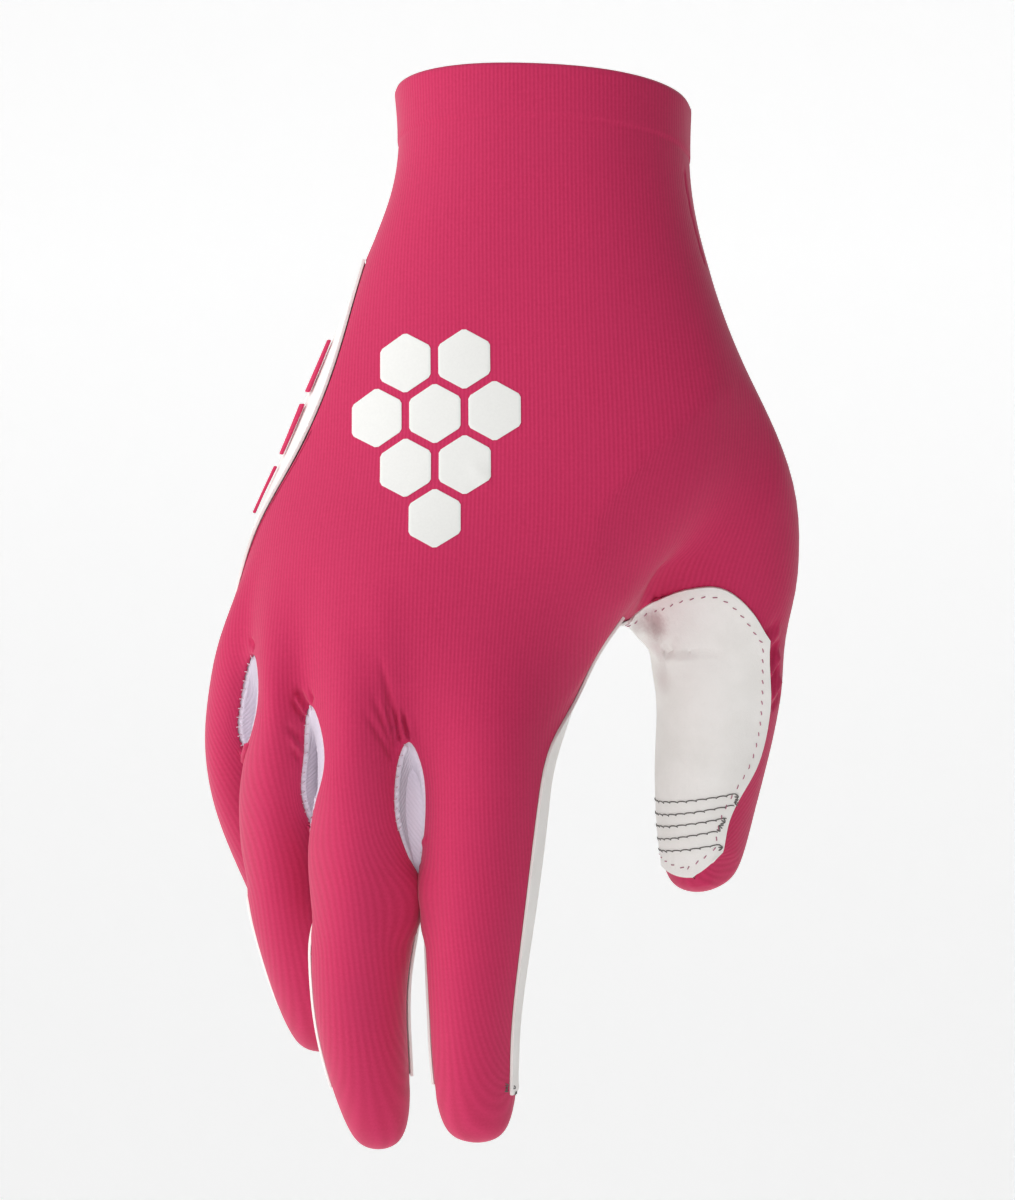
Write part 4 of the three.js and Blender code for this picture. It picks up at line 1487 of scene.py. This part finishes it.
class GLOVE_OT_print(bpy.types.Operator):
    """Makes the printed cells on the back of the hand"""
    bl_idname = "glove.print"
    bl_label = "Print"

    def execute(self, context):
        size = sizes()
        film = bmesh.new()
        for cell in PRINT_CELLS:
            patch = bmesh.new()
            bmesh.ops.create_grid(patch, x_segments=14, y_segments=14, size=size.cell * 0.6)
            for n in range(12):
                way = Vector((math.cos(n * math.pi / 6), math.sin(n * math.pi / 6), 0))
                reach = size.cell / 2 if n % 2 == 0 else size.cell / 2 * 1.11
                cut_by_plane(patch, way * reach, way, clear_outer=True)
            bmesh.ops.rotate(patch, verts=patch.verts, matrix=Matrix.Rotation(math.pi / 2, 3, "X"))
            rise = size.cell_pitch * math.sqrt(3) / 2
            middle = Vector((PRINT_MIDDLE[0] * MM, -0.1, PRINT_MIDDLE[1] * MM))
            shift = Vector((cell.across * size.cell_pitch, 0, cell.up * rise))
            bmesh.ops.translate(patch, verts=patch.verts, vec=middle + shift)
            add_to(film, patch)
        for vert in film.verts:
            met, facing, _, _ = surfaces["knit_back"].ray_cast(vert.co, TO_PALM)
            vert.co = met + facing * 0.02 * MM
        film.normal_update()
        obj = object_from("print_cells", film)
        film.free()
        finish_wall(obj, size.film, size.film * 0.35, outwards=True, sharp=60)
        dress(obj, "white_print_film", "white_suede")
        return {"FINISHED"}


class GLOVE_OT_seams(bpy.types.Operator):
    """Makes the stitches of the gussets' seams and the topstitch of the thumb's patch"""
    bl_idname = "glove.seams"
    bl_label = "Seam stitches"

    def execute(self, context):
        size = sizes()
        ticks = []
        last = {}
        for mark in seam_marks:
            count = int(mark.run / size.stitch)
            if mark.stitched and last.get(mark.gusset) != count:
                last[mark.gusset] = count
                near, up, _, _ = surfaces["knit_back"].find_nearest(mark.place + mark.out * 0.45 * MM)
                start = surfaces[mark.gusset].find_nearest(mark.place - mark.out * 0.35 * MM)[0]
                lean = up.cross(mark.out).normalized() * 0.2 * MM
                ticks.append(stitch(start - lean, near + lean, up, size.thread * 0.35))
        sewn_threads("gusset_stitches", ticks, size.thread * 0.65, "white_thread", "white_suede")
        dashes = []
        patch = skins["suede_thumb_patch"]
        outward = rim_frames(patch)
        for loop in boundary_loops(patch):
            line = [v.co - outward[v] * size.topstitch_inset for v in loop]
            for place, along in evenly(line + line[:1], size.topstitch):
                near, up, _, _ = surfaces["suede_thumb_patch"].find_nearest(place)
                across = up.cross(along).normalized() * 0.12 * MM
                start, end = near - along * 0.42 * MM - across, near + along * 0.42 * MM + across
                dashes.append(stitch(start, end, up, size.thread * 0.35))
        sewn_threads("patch_topstitch", dashes, size.thread * 0.9, "pink_thread", "magenta_knit")
        return {"FINISHED"}


class GLOVE_OT_grips(bpy.types.Operator):
    """Makes the dark grip rows on the thumb's patch and on the tip of the index finger"""
    bl_idname = "glove.grips"
    bl_label = "Grip rows"

    def execute(self, context):
        size = sizes()
        strands = []
        ends = []
        for number, row in enumerate(THUMB_GRIPS):
            left = Vector((row.x, row.y, row.z)) * MM
            right = Vector((row.to_x, row.to_y, row.to_z)) * MM
            across = (right - left).normalized()
            cut = (THUMB_AXIS - across * THUMB_AXIS.dot(across)).normalized()
            line = cut_line("suede_thumb_patch", right, cut)
            if line[0].x < line[-1].x:
                line.reverse()
            first = min(range(len(line)), key=lambda i: (line[i] - right).length)
            last = len(line) - max(3, len(line) // 12)
            ends.append(right)
            strands += grip_row("suede_thumb_patch", line[first:last], 0.06 * MM, number)
        for a, b in THUMB_TACKS:
            strands += tack("suede_thumb_patch", ends[a], ends[b])
        strands += tack("suede_thumb_patch", ends[4], ends[4] + Vector((0, 0, -1.2 * MM)))
        sewn_threads("thumb_grip_rows", strands, size.thread * 0.95, "grip_thread", "white_suede")
        strands = []
        for row in INDEX_TACKS:
            strands += tack(row.piece, Vector(row[1:4]) * MM, Vector(row[4:]) * MM)
        sewn_threads("index_tip_tacks", strands, size.thread * 0.8, "grip_thread", "white_suede")
        return {"FINISHED"}


class GLOVE_PT_sidebar(bpy.types.Panel):
    """Lists the glove's pieces and its colours and sizes"""
    bl_label = "Glove"
    bl_space_type = "VIEW_3D"
    bl_region_type = "UI"
    bl_category = "Glove"

    def draw(self, context):
        for operator in PIECES:
            self.layout.operator(operator.bl_idname)
        for group in (context.scene.glove_colours, context.scene.glove_sizes):
            for name in group.bl_rna.properties.keys():
                if name not in ("rna_type", "name"):
                    self.layout.prop(group, name)


PIECES = (
    GLOVE_OT_gussets, GLOVE_OT_back, GLOVE_OT_suede, GLOVE_OT_pads, GLOVE_OT_print, GLOVE_OT_seams,
    GLOVE_OT_grips, GLOVE_OT_stage,
)
CLASSES = (GloveColours, GloveSizes, *PIECES, GLOVE_PT_sidebar)


def register():
    for cls in CLASSES:
        bpy.utils.register_class(cls)
    bpy.types.Scene.glove_colours = PointerProperty(type=GloveColours)
    bpy.types.Scene.glove_sizes = PointerProperty(type=GloveSizes)


def unregister():
    del bpy.types.Scene.glove_sizes
    del bpy.types.Scene.glove_colours
    for cls in reversed(CLASSES):
        bpy.utils.unregister_class(cls)


def main():
    register()
    bpy.ops.glove.gussets()
    bpy.ops.glove.back()
    bpy.ops.glove.suede()
    bpy.ops.glove.pads()
    bpy.ops.glove.print()
    bpy.ops.glove.seams()
    bpy.ops.glove.grips()
    bpy.ops.glove.stage()


if __name__ == "__main__":
    main()
